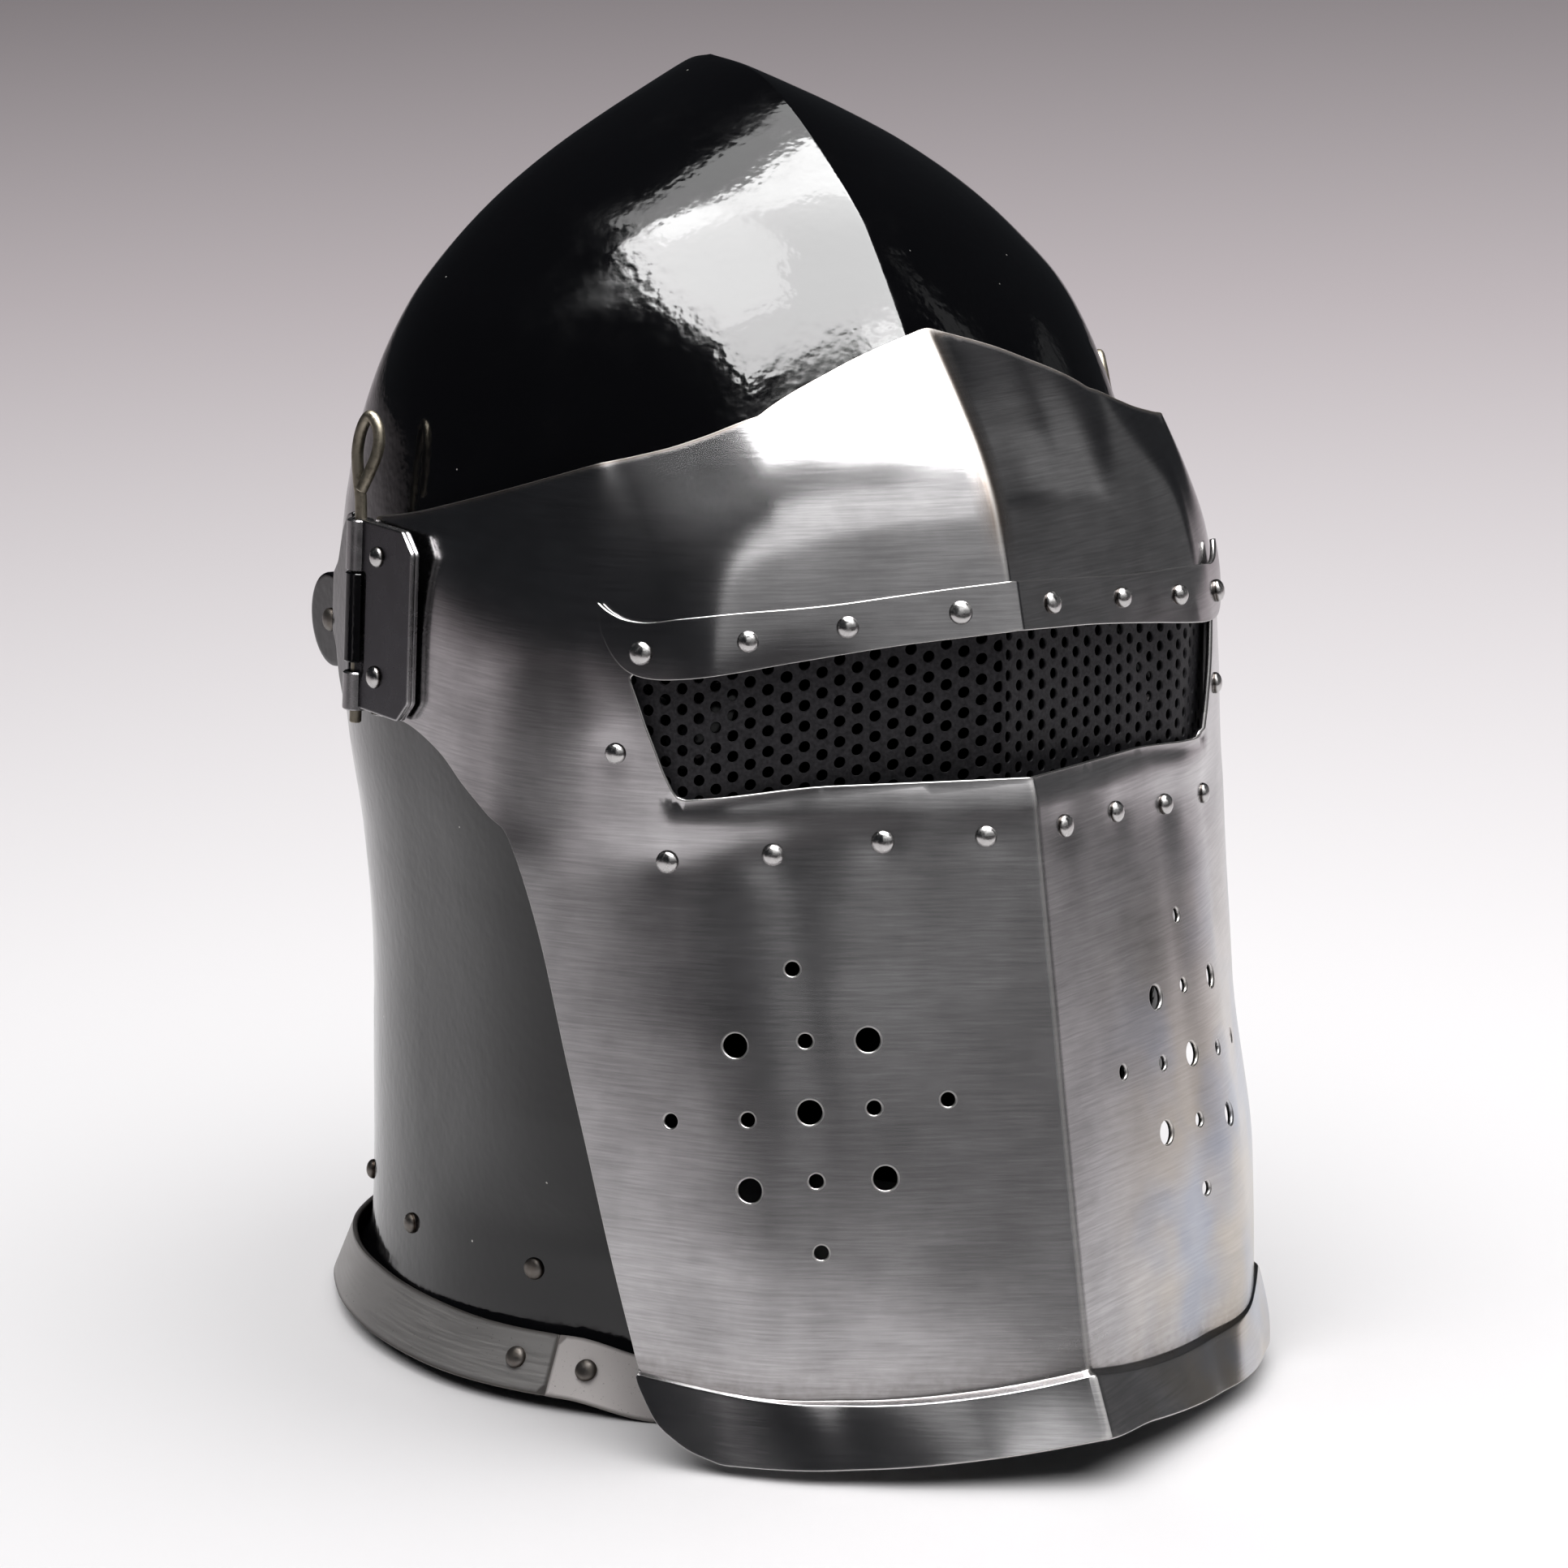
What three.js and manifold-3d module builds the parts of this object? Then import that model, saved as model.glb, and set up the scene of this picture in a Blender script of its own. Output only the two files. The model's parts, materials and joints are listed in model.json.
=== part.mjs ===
// Visored helmet (barbute) in millimetres: +Z up, front towards -Y, standing on z = 0.
// A creased steel visor with a perforated sight plate swings on two temple pivots,
// and a pull-out pin holds each of its side hinges.
import * as THREE from "three";
import { mergeVertices } from "three/addons/utils/BufferGeometryUtils.js";
import Module from "manifold-3d";

const wasm = await Module();
wasm.setup();

// Driving sizes
const PLATE = 1.6;
const GAP = 0.3;
const STRIP = 1.6;
const SIGHT_PLATE = 1.0;
const RIVET = { head: 2.7, rise: 1.7, shank: 1.4, sides: 6, seat: 0.6 };
const PIVOT = { y: 54, z: 185.5, rivetHead: 3, shank: 2, hole: 2.3, boss: 12, depth: 8 };
// The rim strips stand off the skull, the more so from the first to the second gape angle.
const RIM = {
  lift: 3.5, tall: 14, thick: 1.5, fade: 60,
  foot: 0.6, head: 1.2, gape: 2, gapeAngles: [66, 105],
};
const HINGE = {
  x: 109.4, y: 27, z: 192.4, tilt: 0.047, turn: 0.065,
  reach: 27.5, half: 23.6, leaf: 2.5, barrel: 3.4, bore: 1.85, chamfer: 5, window: 5,
};
// Knuckle ends along the hinge axis, measured from the hinge's middle.
const KNUCKLES = { top: [10.5, 23.4], arm: [-12.3, 10.2], bottom: [-24.4, -14.8] };
const PIN = { wire: 1.5, turn: 0.52, steps: 18 };
// Length of the drills and half-length of the cutting prisms
const DRILL = 16;
const FAR = 150;

// Skull sections: height, half-width, front, widest and back y, sharpness of the front and back keel
const SKULL = table(["z", "wide", "front", "middle", "back", "keel", "nape"], [
  [0, 106.5, -83, 17, 146, 0, 0],
  [6, 103.2, -79.5, 17, 142.5, 0, 0],
  [12, 99.8, -76, 17, 138.5, 0, 0],
  [18, 98, -74, 17, 136.5, 0, 0],
  [35, 97.3, -73, 17, 135.5, 0, 0],
  [62, 97, -70, 17, 135, 0, 0],
  [97, 96.7, -69, 17.5, 134.5, 0, 0],
  [127, 98.7, -71, 18, 137, 0.03, 0.01],
  [152, 101.5, -76, 19, 143.5, 0.06, 0.03],
  [177, 102.8, -82, 19.5, 147.5, 0.09, 0.04],
  [202, 101.8, -84, 20, 147, 0.12, 0.05],
  [227, 99, -78, 24, 136.5, 0.17, 0.08],
  [247, 95.6, -66, 27.5, 116.5, 0.21, 0.11],
  [264.5, 88.4, -53.4, 30, 99.2, 0.24, 0.14],
  [278.5, 76.6, -44.1, 33, 89.3, 0.26, 0.17],
  [290.5, 63.3, -32.2, 35.5, 80, 0.28, 0.2],
  [301.5, 47.4, -17.5, 37.5, 71.1, 0.3, 0.22],
  [310.5, 30.7, -3.7, 39.5, 65.3, 0.32, 0.25],
  [317.5, 15.5, 9.5, 41, 61, 0.34, 0.28],
  [322, 5, 23.5, 42.5, 54.5, 0.35, 0.3],
  [323.9, 0, 44, 44, 44, 0.35, 0.3],
]);

// Visor sections: height at the ridge, cheek (x 50) and side (x 90); y at the ridge and at
// x 25, 50 and 75; half-width at the two side stations
const SIDE_STATIONS = { near: -36, far: 29 };
const VISOR = table(
  ["zRidge", "zCheek", "zSide", "y0", "y25", "y50", "y75", "xNear", "xFar"], [
    [12.4, 4.8, 2.6, -150.4, -138.6, -122.8, -101.5, 124, 110],
    [25.6, 17.9, 21, -146.5, -132.2, -116.8, -97.2, 111, 108.8],
    [26.4, 18.7, 22, -141.8, -128.3, -114, -95.5, 107, 108],
    [44.5, 38.5, 36.5, -138, -126, -113, -94.2, 107.5, 108],
    [64.5, 58.5, 54, -133.8, -122.6, -110.4, -92, 107.5, 108],
    [87.5, 81.5, 77, -129.2, -118.2, -106.2, -87.8, 107, 108],
    [110.5, 104.5, 100, -124.9, -113.6, -101.4, -83, 106.5, 108.2],
    [132.5, 126.5, 122, -120.6, -108.8, -95.7, -77.8, 105.5, 108.4],
    [152.5, 146.5, 142, -116.8, -104.6, -90.4, -74, 104.5, 108.6],
    [165.5, 159.5, 155, -114.6, -102.4, -89.2, -74.4, 103, 108.6],
    [187.5, 181.5, 177, -109.5, -98.9, -87.7, -74.8, 101.5, 108.4],
    [205.5, 199.5, 195, -103.5, -95, -85.8, -72.6, 100, 107.8],
    [218.5, 213, 209.5, -99.4, -91.7, -82.8, -67.8, 97, 107],
    [229.5, 224.5, 221.5, -95.2, -87.8, -78.4, -61.6, 92, 105.8],
    [239.5, 235.5, 233.5, -89, -81.8, -71.8, -52.5, 86, 103.8],
    [249.5, 246.5, 245.5, -80.4, -73.4, -63.4, -42, 79, 100],
    [259.5, 257.5, 257.5, -71, -64.2, -53.6, -30, 71.5, 95],
    [268.5, 267.5, 267.5, -62.2, -55.2, -43.6, -16, 57.5, 87],
  ]);
const FLANGE_ROWS = 2;

// Visor outline seen from the side, from the brow's top edge round the hinge to the flange
const VISOR_TOP_EDGE = table(["y", "z"], [
  [-63.6, 275], [-63.6, 249], [-58, 243.8], [-49.6, 239.3], [-23, 229.5], [6, 220.4], [24, 216.4],
]);
const VISOR_REAR_EDGE = table(["y", "z"], [
  [24, 167], [6, 168], [-10.8, 164], [-22, 158], [-33, 152], [-40.5, 147], [-48.3, 128.5],
  [-58.8, 90.5], [-68.5, 55], [-75.2, 30], [-76.6, 24.4], [-78, 20.5], [-80.9, 16.4], [-85.4, 10.8],
  [-89.5, 7.6], [-93.3, 5.3], [-97.4, 3.8], [-102, 2.4], [-108, 1],
]);

// Half of the sight slot, and the height of its edges
const SLOT = table(["x", "z"], [
  [0, 202], [45, 197], [80, 192], [83, 190], [80.5, 178], [77.5, 167], [75, 160], [45, 163.5], [0, 165.3],
]);
// Lower and upper edges of the brow strip, which ends in upturned points
const BROW_STRIP = table(["x", "low", "high"], [
  [0, 199.5, 210.5], [12, 198.4, 209.5], [25, 197.2, 208.2], [38, 195.6, 206.8], [50, 193.8, 205.8],
  [62, 191.9, 204.9], [72, 190.3, 203.6], [78, 189.8, 202.4], [82, 191, 202.8], [84.5, 194.5, 204.4],
  [86, 199.5, 206.4],
]);
const BROW_RIVETS = table(["x", "z"], [[12, 204], [37.7, 201.6], [59.8, 198.8], [79.8, 195.6]]);
const CHEEK_RIVETS = table(["x", "z"], [[11.2, 152], [33, 150.8], [55.6, 147.6], [76.4, 145.3]]);
const SIDE_RIVETS = table(["x", "z"], [[85.5, 171]]);
// Breaths: a diamond of large and small holes on each cheek
const BREATH_SIDES = 6;
const BREATHS = table(["x", "z", "bore"], [
  [54.5, 121.2, 4.1], [40.7, 104.8, 6.5], [53.7, 104.5, 4.1], [67.7, 103.1, 6.5],
  [24.8, 90.5, 4.1], [40.9, 88.9, 4.1], [54.3, 87.8, 6.5], [66.9, 85.8, 4.1], [80.1, 83.8, 4.1],
  [39.9, 72.3, 6.5], [54.3, 71.6, 4.1], [67.8, 69.1, 6.5], [54.5, 54.6, 4.1],
]);
// Ring angles from the front: face opening corners, rim seams, rivets
const RIM_SEAM = 58.6;
const RIM_FRONT = 38;
const RIM_RIVETS = { rear: 64.5, front: 53 };
const RIM_RIVET_DEPTH = 3.6;
const NECK_RIVETS = { z: 32.5, angles: [64, 95, 120, 150], depth: 2.9 };
// Squareness of the skull's front half, and the heights where it fades in and out
const FULLNESS = { most: 0.75, from: [35, 75], to: [150, 205] };
const FACE = { low: 56, wide: 62, sill: 150, top: 225 };

// Facets: table rows, ring columns and visor stations where the plates have corners
const SKULL_COLUMNS = 28;
const SKULL_ROWS = [0, 2, 3, 4, 5, 6, 7, 8, 9, 10, 11, 12, 13, 14, 16, 18, 20];
const VISOR_ROWS = [0, 1, 2, 4, 6, 8, 9, 11, 13, 15, 17];
const STATIONS = [0, 1, 2, 2.6, 3, 3.3, 3.65, 4, 4.5, 5];
const BOTH_STATIONS = [...STATIONS.slice(1).reverse().map((s) => -s), ...STATIONS];

const materials = {
  black: new THREE.MeshStandardMaterial({ color: 0x0b0b0d, roughness: 0.15, metalness: 0.2 }),
  steel: new THREE.MeshStandardMaterial({ color: 0x8f9094, roughness: 0.3, metalness: 1 }),
  bright: new THREE.MeshStandardMaterial({ color: 0xb9babd, roughness: 0.18, metalness: 1 }),
  sight: new THREE.MeshStandardMaterial({ color: 0x131315, roughness: 0.4, metalness: 0.3 }),
  wire: new THREE.MeshStandardMaterial({ color: 0x8a8478, roughness: 0.4, metalness: 1 }),
};

const helmet = new THREE.Group();

// Named columns
function table(columns, rows) {
  return rows.map((row) => Object.fromEntries(columns.map((name, i) => [name, row[i]])));
}

function catmullRom(a, b, c, d, t) {
  const cubic = (3 * (b - c) + d - a) * t;
  return b + 0.5 * t * (c - a + t * (2 * a - 5 * b + 4 * c - d + cubic));
}

// A row of a table at a fractional row number, smooth from row `first` upwards, straight below it
function rowAt(rows, at, first = 0) {
  const i = Math.min(Math.max(Math.floor(at), 0), rows.length - 2);
  const t = at - i;
  const mixed = {};
  for (const key of Object.keys(rows[0])) {
    const b = rows[i][key];
    const c = rows[i + 1][key];
    const a = i > first ? rows[i - 1][key] : 2 * b - c;
    const d = i + 2 < rows.length ? rows[i + 2][key] : 2 * c - b;
    mixed[key] = i < first ? b + (c - b) * t : catmullRom(a, b, c, d, t);
  }
  return mixed;
}

// A smooth curve through points, at a fractional point number
function curveAt(points, at) {
  const i = Math.min(Math.max(Math.floor(at), 0), points.length - 2);
  const [b, c] = [points[i], points[i + 1]];
  const a = i > 0 ? points[i - 1] : [2 * b[0] - c[0], 2 * b[1] - c[1]];
  const d = i + 2 < points.length ? points[i + 2] : [2 * c[0] - b[0], 2 * c[1] - b[1]];
  return [0, 1].map((k) => catmullRom(a[k], b[k], c[k], d[k], at - i));
}

function smooth(low, high, value) {
  return THREE.MathUtils.smoothstep(value, low, high);
}

// The value where a rising function reaches a target
function solve(f, target, low, high) {
  for (let step = 0; step < 40; step++) {
    const mid = (low + high) / 2;
    if (f(mid) < target) low = mid;
    else high = mid;
  }
  return (low + high) / 2;
}

// Skull surface at a ring angle (degrees from the front, towards +X) and a row number
function skullPoint(angle, row) {
  const { z, wide, front, middle, back, keel, nape } = rowAt(SKULL, row);
  const a = THREE.MathUtils.degToRad(angle);
  const [s, c] = [Math.abs(Math.sin(a)), Math.cos(a)];
  const [end, crease] = c > 0 ? [front, keel] : [back, nape];
  const power = c > 0 ? 1 / (1 + fullness(z)) : 1;
  const x = wide * Math.sign(Math.sin(a)) * s ** power;
  const y = middle + (end - middle) * ((1 - crease) * Math.abs(c) ** power + crease * (1 - s));
  return new THREE.Vector3(x, y, z + rimLift(angle) * (1 - smooth(0, RIM.fade, z)));
}

// How much squarer than an ellipse the front half of the skull is
function fullness(z) {
  return FULLNESS.most * smooth(...FULLNESS.from, z) * (1 - smooth(...FULLNESS.to, z));
}

// The lower rim stands on its nape and its two front corners and is lifted between them
function rimLift(angle) {
  const turn = Math.abs(THREE.MathUtils.euclideanModulo(angle + 180, 360) - 180);
  return RIM.lift * smooth(42, 56, turn) * (1 - smooth(100, 150, turn));
}

// Visor surface at a station along its half section (0 ridge to 5 hinge) and a row number
function visorPoint(station, row) {
  const r = rowAt(VISOR, row, FLANGE_ROWS);
  const section = [
    [0, r.y0], [25, r.y25], [50, r.y50], [75, r.y75],
    [r.xNear, SIDE_STATIONS.near], [r.xFar, SIDE_STATIONS.far],
  ];
  const [x, y] = curveAt(section, station);
  const [cheek, side] = [r.zCheek - r.zRidge, r.zSide - r.zRidge];
  const bend = (side / 90 - cheek / 50) / 40;
  const slope = cheek / 50 - 50 * bend;
  const reach = Math.min(x, 95);
  return new THREE.Vector3(x, y, r.zRidge + slope * reach + bend * reach * reach);
}

// Outward normal of a surface by small steps of its two parameters
function normalOf(surface, u, v, maxV) {
  const step = 0.01;
  const [v0, v1] = [Math.max(v - step, 0), Math.min(v + step, maxV)];
  const du = surface(u + step, v).sub(surface(u - step, v));
  const dv = surface(u, v1).sub(surface(u, v0));
  return du.cross(dv).normalize();
}

function mirroredVisor(station, row) {
  const p = visorPoint(Math.abs(station), row);
  if (station < 0) p.x = -p.x;
  return p;
}

function visorNormal(station, row) {
  return normalOf(mirroredVisor, station, row, VISOR.length - 1);
}

// Station and row of the visor where its surface has a given x and height
function visorAt(x, z) {
  let station = 0;
  const row = solve((v) => {
    station = solve((u) => visorPoint(u, v).x, x, 0, 5);
    return visorPoint(station, v).z;
  }, z, FLANGE_ROWS, VISOR.length - 1);
  return { station, row };
}

// A closed body between an outer and an inner grid of points
function sheet(outer, inner, ring = false) {
  const rows = outer.length;
  const columns = outer[0].length;
  const faces = [];
  const quad = (a, b, c, d) => {
    faces.push(a, b, c, a, c, d);
  };
  const last = ring ? columns : columns - 1;
  for (let c = 0; c < last; c++) {
    const e = (c + 1) % columns;
    for (let r = 0; r + 1 < rows; r++) {
      quad(outer[r][c], outer[r][e], outer[r + 1][e], outer[r + 1][c]);
      quad(inner[r][c], inner[r + 1][c], inner[r + 1][e], inner[r][e]);
    }
    quad(outer[0][e], outer[0][c], inner[0][c], inner[0][e]);
    quad(outer[rows - 1][c], outer[rows - 1][e], inner[rows - 1][e], inner[rows - 1][c]);
  }
  for (let r = 0; !ring && r + 1 < rows; r++) {
    quad(outer[r][0], outer[r + 1][0], inner[r + 1][0], inner[r][0]);
    const e = columns - 1;
    quad(outer[r + 1][e], outer[r][e], inner[r][e], inner[r + 1][e]);
  }
  return bodyOf(faces);
}

// A body from a flat list of corner points, three to a face, without faces of no area
function bodyOf(corners) {
  const kept = [];
  for (let i = 0; i < corners.length; i += 3) {
    const [a, b, c] = corners.slice(i, i + 3);
    if (a.distanceTo(b) > 1e-3 && b.distanceTo(c) > 1e-3 && c.distanceTo(a) > 1e-3) kept.push(a, b, c);
  }
  return solid(new THREE.BufferGeometry().setFromPoints(kept));
}

// A geometry as a body for joining and cutting
function solid(geometry, matrix = new THREE.Matrix4()) {
  const bare = new THREE.BufferGeometry().setAttribute("position", geometry.getAttribute("position").clone());
  bare.setIndex(geometry.index);
  const merged = mergeVertices(bare.applyMatrix4(matrix), 1e-3);
  const triVerts = new Uint32Array(merged.index.array);
  return new wasm.Manifold(
    new wasm.Mesh({ numProp: 3, vertProperties: merged.attributes.position.array, triVerts }),
  );
}

function geometryOf(body) {
  const { vertProperties, triVerts } = body.getMesh();
  const geometry = new THREE.BufferGeometry();
  geometry.setAttribute("position", new THREE.BufferAttribute(vertProperties, 3));
  geometry.setIndex(new THREE.BufferAttribute(triVerts, 1));
  return geometry;
}

function add(parent, name, shape, material) {
  const geometry = shape.isBufferGeometry ? shape : geometryOf(shape);
  const mesh = new THREE.Mesh(geometry, material);
  mesh.name = name;
  parent.add(mesh);
  return mesh;
}

// Prisms of an outline: across the helmet from (y, z) points, or front to back from (x, z) points
const ACROSS = new THREE.Matrix4().makeBasis(
  new THREE.Vector3(0, 1, 0), new THREE.Vector3(0, 0, 1), new THREE.Vector3(1, 0, 0),
);
const BACKWARD = new THREE.Matrix4().makeBasis(
  new THREE.Vector3(-1, 0, 0), new THREE.Vector3(0, 0, 1), new THREE.Vector3(0, 1, 0),
);

function prism(shape, basis, from, to) {
  const geometry = new THREE.ExtrudeGeometry(shape, {
    depth: to - from, bevelEnabled: false, curveSegments: 6,
  });
  geometry.translate(0, 0, from);
  return solid(geometry, basis);
}

function outline(points) {
  return new THREE.Shape(points.map(([a, b]) => new THREE.Vector2(a, b)));
}

// A frame whose local Y axis runs along a direction at a point
function standing(point, direction) {
  const up = new THREE.Quaternion().setFromUnitVectors(new THREE.Vector3(0, 1, 0), direction);
  return new THREE.Matrix4().compose(point, up, new THREE.Vector3(1, 1, 1));
}

function drill(radius, sides, point, direction, length = DRILL) {
  return solid(new THREE.CylinderGeometry(radius, radius, length, sides), standing(point, direction));
}

function cut(body, tools) {
  return tools.reduce((left, tool) => left.subtract(tool), body);
}

function rivetGeometry(head, rise, shank, depth) {
  const profile = [
    [0, -depth], [shank, -depth], [shank, 0], [head, 0], [0.7 * head, 0.75 * rise], [0, rise],
  ];
  return new THREE.LatheGeometry(profile.map(([r, h]) => new THREE.Vector2(r, h)), RIVET.sides);
}

function addRivet(parent, name, point, direction, depth, head = RIVET.head, shank = RIVET.shank) {
  const mesh = add(parent, name, rivetGeometry(head, RIVET.rise, shank, depth), materials.bright);
  mesh.applyMatrix4(standing(point, direction));
}

// The two sides: the left one as built, the right one mirrored
const sides = ["left", "right"].map((name) => {
  const group = new THREE.Group();
  group.scale.x = name === "left" ? 1 : -1;
  helmet.add(group);
  return { name, group };
});

function mirrored(point) {
  return point.clone().multiply(new THREE.Vector3(-1, 1, 1));
}

// Both copies of a drill on the two sides
function drillPair(radius, sideCount, { point, normal }) {
  return [
    drill(radius, sideCount, point, normal),
    drill(radius, sideCount, mirrored(point), mirrored(normal)),
  ];
}

const RIVET_HOLE = RIVET.shank + GAP;
const OUTWARD = new THREE.Vector3(1, 0, 0);

// Skull
function skullNormal(angle, row) {
  return normalOf(skullPoint, angle, row, SKULL.length - 1.02);
}

function skullRowAt(angle, z) {
  return solve((row) => skullPoint(angle, row).z, z, 0, SKULL.length - 1);
}

function spotOnSkull(angle, z) {
  const row = skullRowAt(angle, z);
  return { point: skullPoint(angle, row), normal: skullNormal(angle, row) };
}

function makeSkull() {
  const angles = Array.from({ length: SKULL_COLUMNS }, (_, i) => (i * 360) / SKULL_COLUMNS);
  const top = SKULL.length - 1;
  const outer = SKULL_ROWS.map((row) => angles.map((angle) => skullPoint(angle, row)));
  const inner = SKULL_ROWS.map((row) =>
    angles.map((angle) => {
      const point = skullPoint(angle, row);
      if (row === top) return point.add(new THREE.Vector3(0, 0, -2 * PLATE));
      const inward = skullNormal(angle, row).multiplyScalar(-PLATE);
      if (row === 0) inward.setZ(0);
      return point.add(inward);
    }));
  const face = new THREE.Shape();
  face.moveTo(-FACE.low, -10);
  face.lineTo(FACE.low, -10);
  face.lineTo(FACE.wide, FACE.sill);
  face.absellipse(0, FACE.sill, FACE.wide, FACE.top - FACE.sill, 0, Math.PI);
  face.lineTo(-FACE.low, -10);
  const holes = [prism(face, BACKWARD, -FAR, 0)];
  const rivets = [
    ...NECK_RIVETS.angles.map((angle) => spotOnSkull(angle, NECK_RIVETS.z)),
    ...Object.values(RIM_RIVETS).map(rimRivetSpot),
  ];
  for (const spot of rivets) holes.push(...drillPair(RIVET_HOLE, RIVET.sides, spot));
  const pivot = new THREE.Vector3(ARM.bossInner, PIVOT.y, PIVOT.z);
  holes.push(...drillPair(PIVOT.hole, 8, { point: pivot, normal: OUTWARD }));
  return cut(sheet(outer, inner, true), holes);
}

// Rim strips: straight bands round the flared lower edge, standing off it at the back
function rimSection(angle) {
  const foot = skullPoint(angle, 0);
  const head = foot.z + RIM.tall;
  const seat = skullPoint(angle, skullRowAt(angle, head));
  const outward = skullNormal(angle, 3).setZ(0).normalize();
  const turn = Math.abs(THREE.MathUtils.euclideanModulo(angle + 180, 360) - 180);
  const standOff = RIM.head + RIM.gape * smooth(...RIM.gapeAngles, turn);
  const low = foot.addScaledVector(outward, RIM.foot);
  const high = seat.addScaledVector(outward, standOff);
  high.z = head;
  return { low, high, outward };
}

function rimStrip(from, to, count) {
  const angles = Array.from({ length: count + 1 }, (_, i) => from + ((to - from) * i) / count);
  const sections = angles.map(rimSection);
  const inner = [sections.map((s) => s.low), sections.map((s) => s.high)];
  const thicken = (p, i) => p.clone().addScaledVector(sections[i].outward, RIM.thick);
  const outer = inner.map((row) => row.map(thicken));
  return sheet(outer, inner);
}

function rimRivetSpot(angle) {
  const { low, high, outward } = rimSection(angle);
  const slope = high.clone().sub(low);
  const along = new THREE.Vector3(-outward.y, outward.x, 0);
  const normal = along.cross(slope).normalize();
  if (normal.dot(outward) < 0) normal.negate();
  const point = low.lerp(high, 0.55).addScaledVector(outward, RIM.thick);
  return { point: point.addScaledVector(normal, GAP), normal };
}

function drillRim(body, angle) {
  return cut(body, drillPair(RIVET_HOLE, RIVET.sides, rimRivetSpot(angle)));
}

// Visor
function offsetVisor(station, row, distance) {
  const point = mirroredVisor(station, row);
  return point.addScaledVector(visorNormal(station, row), distance);
}

function spotOnVisor(x, z, height) {
  const { station, row } = visorAt(x, z);
  return { point: offsetVisor(station, row, height), normal: visorNormal(station, row) };
}

// Drills for the rivets of a table, on both sides
function rivetDrills(spots) {
  return spots.flatMap(({ x, z }) => drillPair(RIVET_HOLE, RIVET.sides, spotOnVisor(x, z, 0)));
}

function visorOutline() {
  const spline = (edge) => new THREE.SplineCurve(edge.slice(1).map(({ y, z }) => new THREE.Vector2(y, z)));
  const rear = spline(VISOR_REAR_EDGE);
  const top = spline(VISOR_TOP_EDGE);
  const points = [
    new THREE.Vector2(-200, -20),
    new THREE.Vector2(-200, VISOR_TOP_EDGE[0].z),
    new THREE.Vector2(VISOR_TOP_EDGE[0].y, VISOR_TOP_EDGE[0].z),
    ...top.getPoints(6),
    new THREE.Vector2(VISOR_REAR_EDGE[0].y, VISOR_REAR_EDGE[0].z),
    ...rear.getPoints(15),
    new THREE.Vector2(VISOR_REAR_EDGE.at(-1).y, -20),
  ];
  return new THREE.Shape(points);
}

function slotOutline() {
  const half = SLOT.map(({ x, z }) => [x, z]);
  const other = half.slice(1, -1).reverse().map(([x, z]) => [-x, z]);
  return outline([...half, ...other]);
}

function makeVisor() {
  const outer = VISOR_ROWS.map((row) => BOTH_STATIONS.map((s) => mirroredVisor(s, row)));
  const inner = VISOR_ROWS.map((row) => BOTH_STATIONS.map((s) => offsetVisor(s, row, -PLATE)));
  const tools = [prism(slotOutline(), BACKWARD, -FAR, VISOR_TOP_EDGE[0].y)];
  for (const { x, z, bore } of BREATHS) {
    tools.push(...drillPair(bore / 2, BREATH_SIDES, spotOnVisor(x, z, 0)));
  }
  tools.push(...rivetDrills([...BROW_RIVETS, ...CHEEK_RIVETS, ...SIDE_RIVETS]));
  for (const z of LEAF_RIVETS.z) tools.push(...drillPair(RIVET_HOLE, RIVET.sides, leafRivetSpot(z)));
  return cut(sheet(outer, inner).intersect(prism(visorOutline(), ACROSS, -FAR, FAR)), tools);
}

const STRIP_SEAT = 0.7;

function makeBrowStrip() {
  const columns = [...BROW_STRIP.slice(1).reverse().map((c) => ({ ...c, x: -c.x })), ...BROW_STRIP];
  const layer = (height) =>
    ["low", "high"].map((edge) =>
      columns.map((c) => {
        const { station, row } = visorAt(Math.abs(c.x), c[edge]);
        return offsetVisor(c.x < 0 ? -station : station, row, height);
      }));
  const body = sheet(layer(STRIP_SEAT + STRIP), layer(STRIP_SEAT));
  return cut(body, rivetDrills(BROW_RIVETS));
}

// Sight plate: upright behind the slot, its lower margin drawn forward to the riveted seam
const SIGHT = {
  seat: 11, ends: 3.55, back: PLATE + 0.9, pitch: 9.6, bore: 2.7, columns: 7,
  rows: [[143, 1], [150, 1], [156, 0.6], [162, 0], [207, 0]],
  holes: [172, 181.5, 191],
};

function sightPoint(station, zRidge, forward, depth) {
  const upright = offsetVisor(station, SIGHT.seat, -SIGHT.back - depth);
  const drop = VISOR[SIGHT.seat].zRidge - mirroredVisor(station, SIGHT.seat).z;
  upright.z = zRidge - drop;
  const row = solve((v) => mirroredVisor(station, v).z, upright.z, FLANGE_ROWS, VISOR.length - 1);
  return upright.lerp(offsetVisor(station, row, -SIGHT.back - depth), forward);
}

function makeSightPlate() {
  const stations = BOTH_STATIONS.filter((s) => Math.abs(s) < SIGHT.ends);
  stations.unshift(-SIGHT.ends);
  stations.push(SIGHT.ends);
  const layer = (depth) =>
    SIGHT.rows.map(([z, forward]) => stations.map((s) => sightPoint(s, z, forward, depth)));
  const tools = rivetDrills(CHEEK_RIVETS);
  SIGHT.holes.forEach((z, line) => {
    for (let column = 0; column < SIGHT.columns; column++) {
      const x = (column + (line % 2 ? 0.9 : 0.4)) * SIGHT.pitch;
      const station = solve((s) => visorPoint(s, SIGHT.seat).x, x, 0, 4);
      const point = sightPoint(station, z, 0, 0);
      const normal = visorNormal(station, SIGHT.seat).setZ(0).normalize();
      tools.push(...drillPair(SIGHT.bore, BREATH_SIDES, { point, normal }));
    }
  });
  return cut(sheet(layer(0), layer(SIGHT_PLATE)), tools);
}

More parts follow.
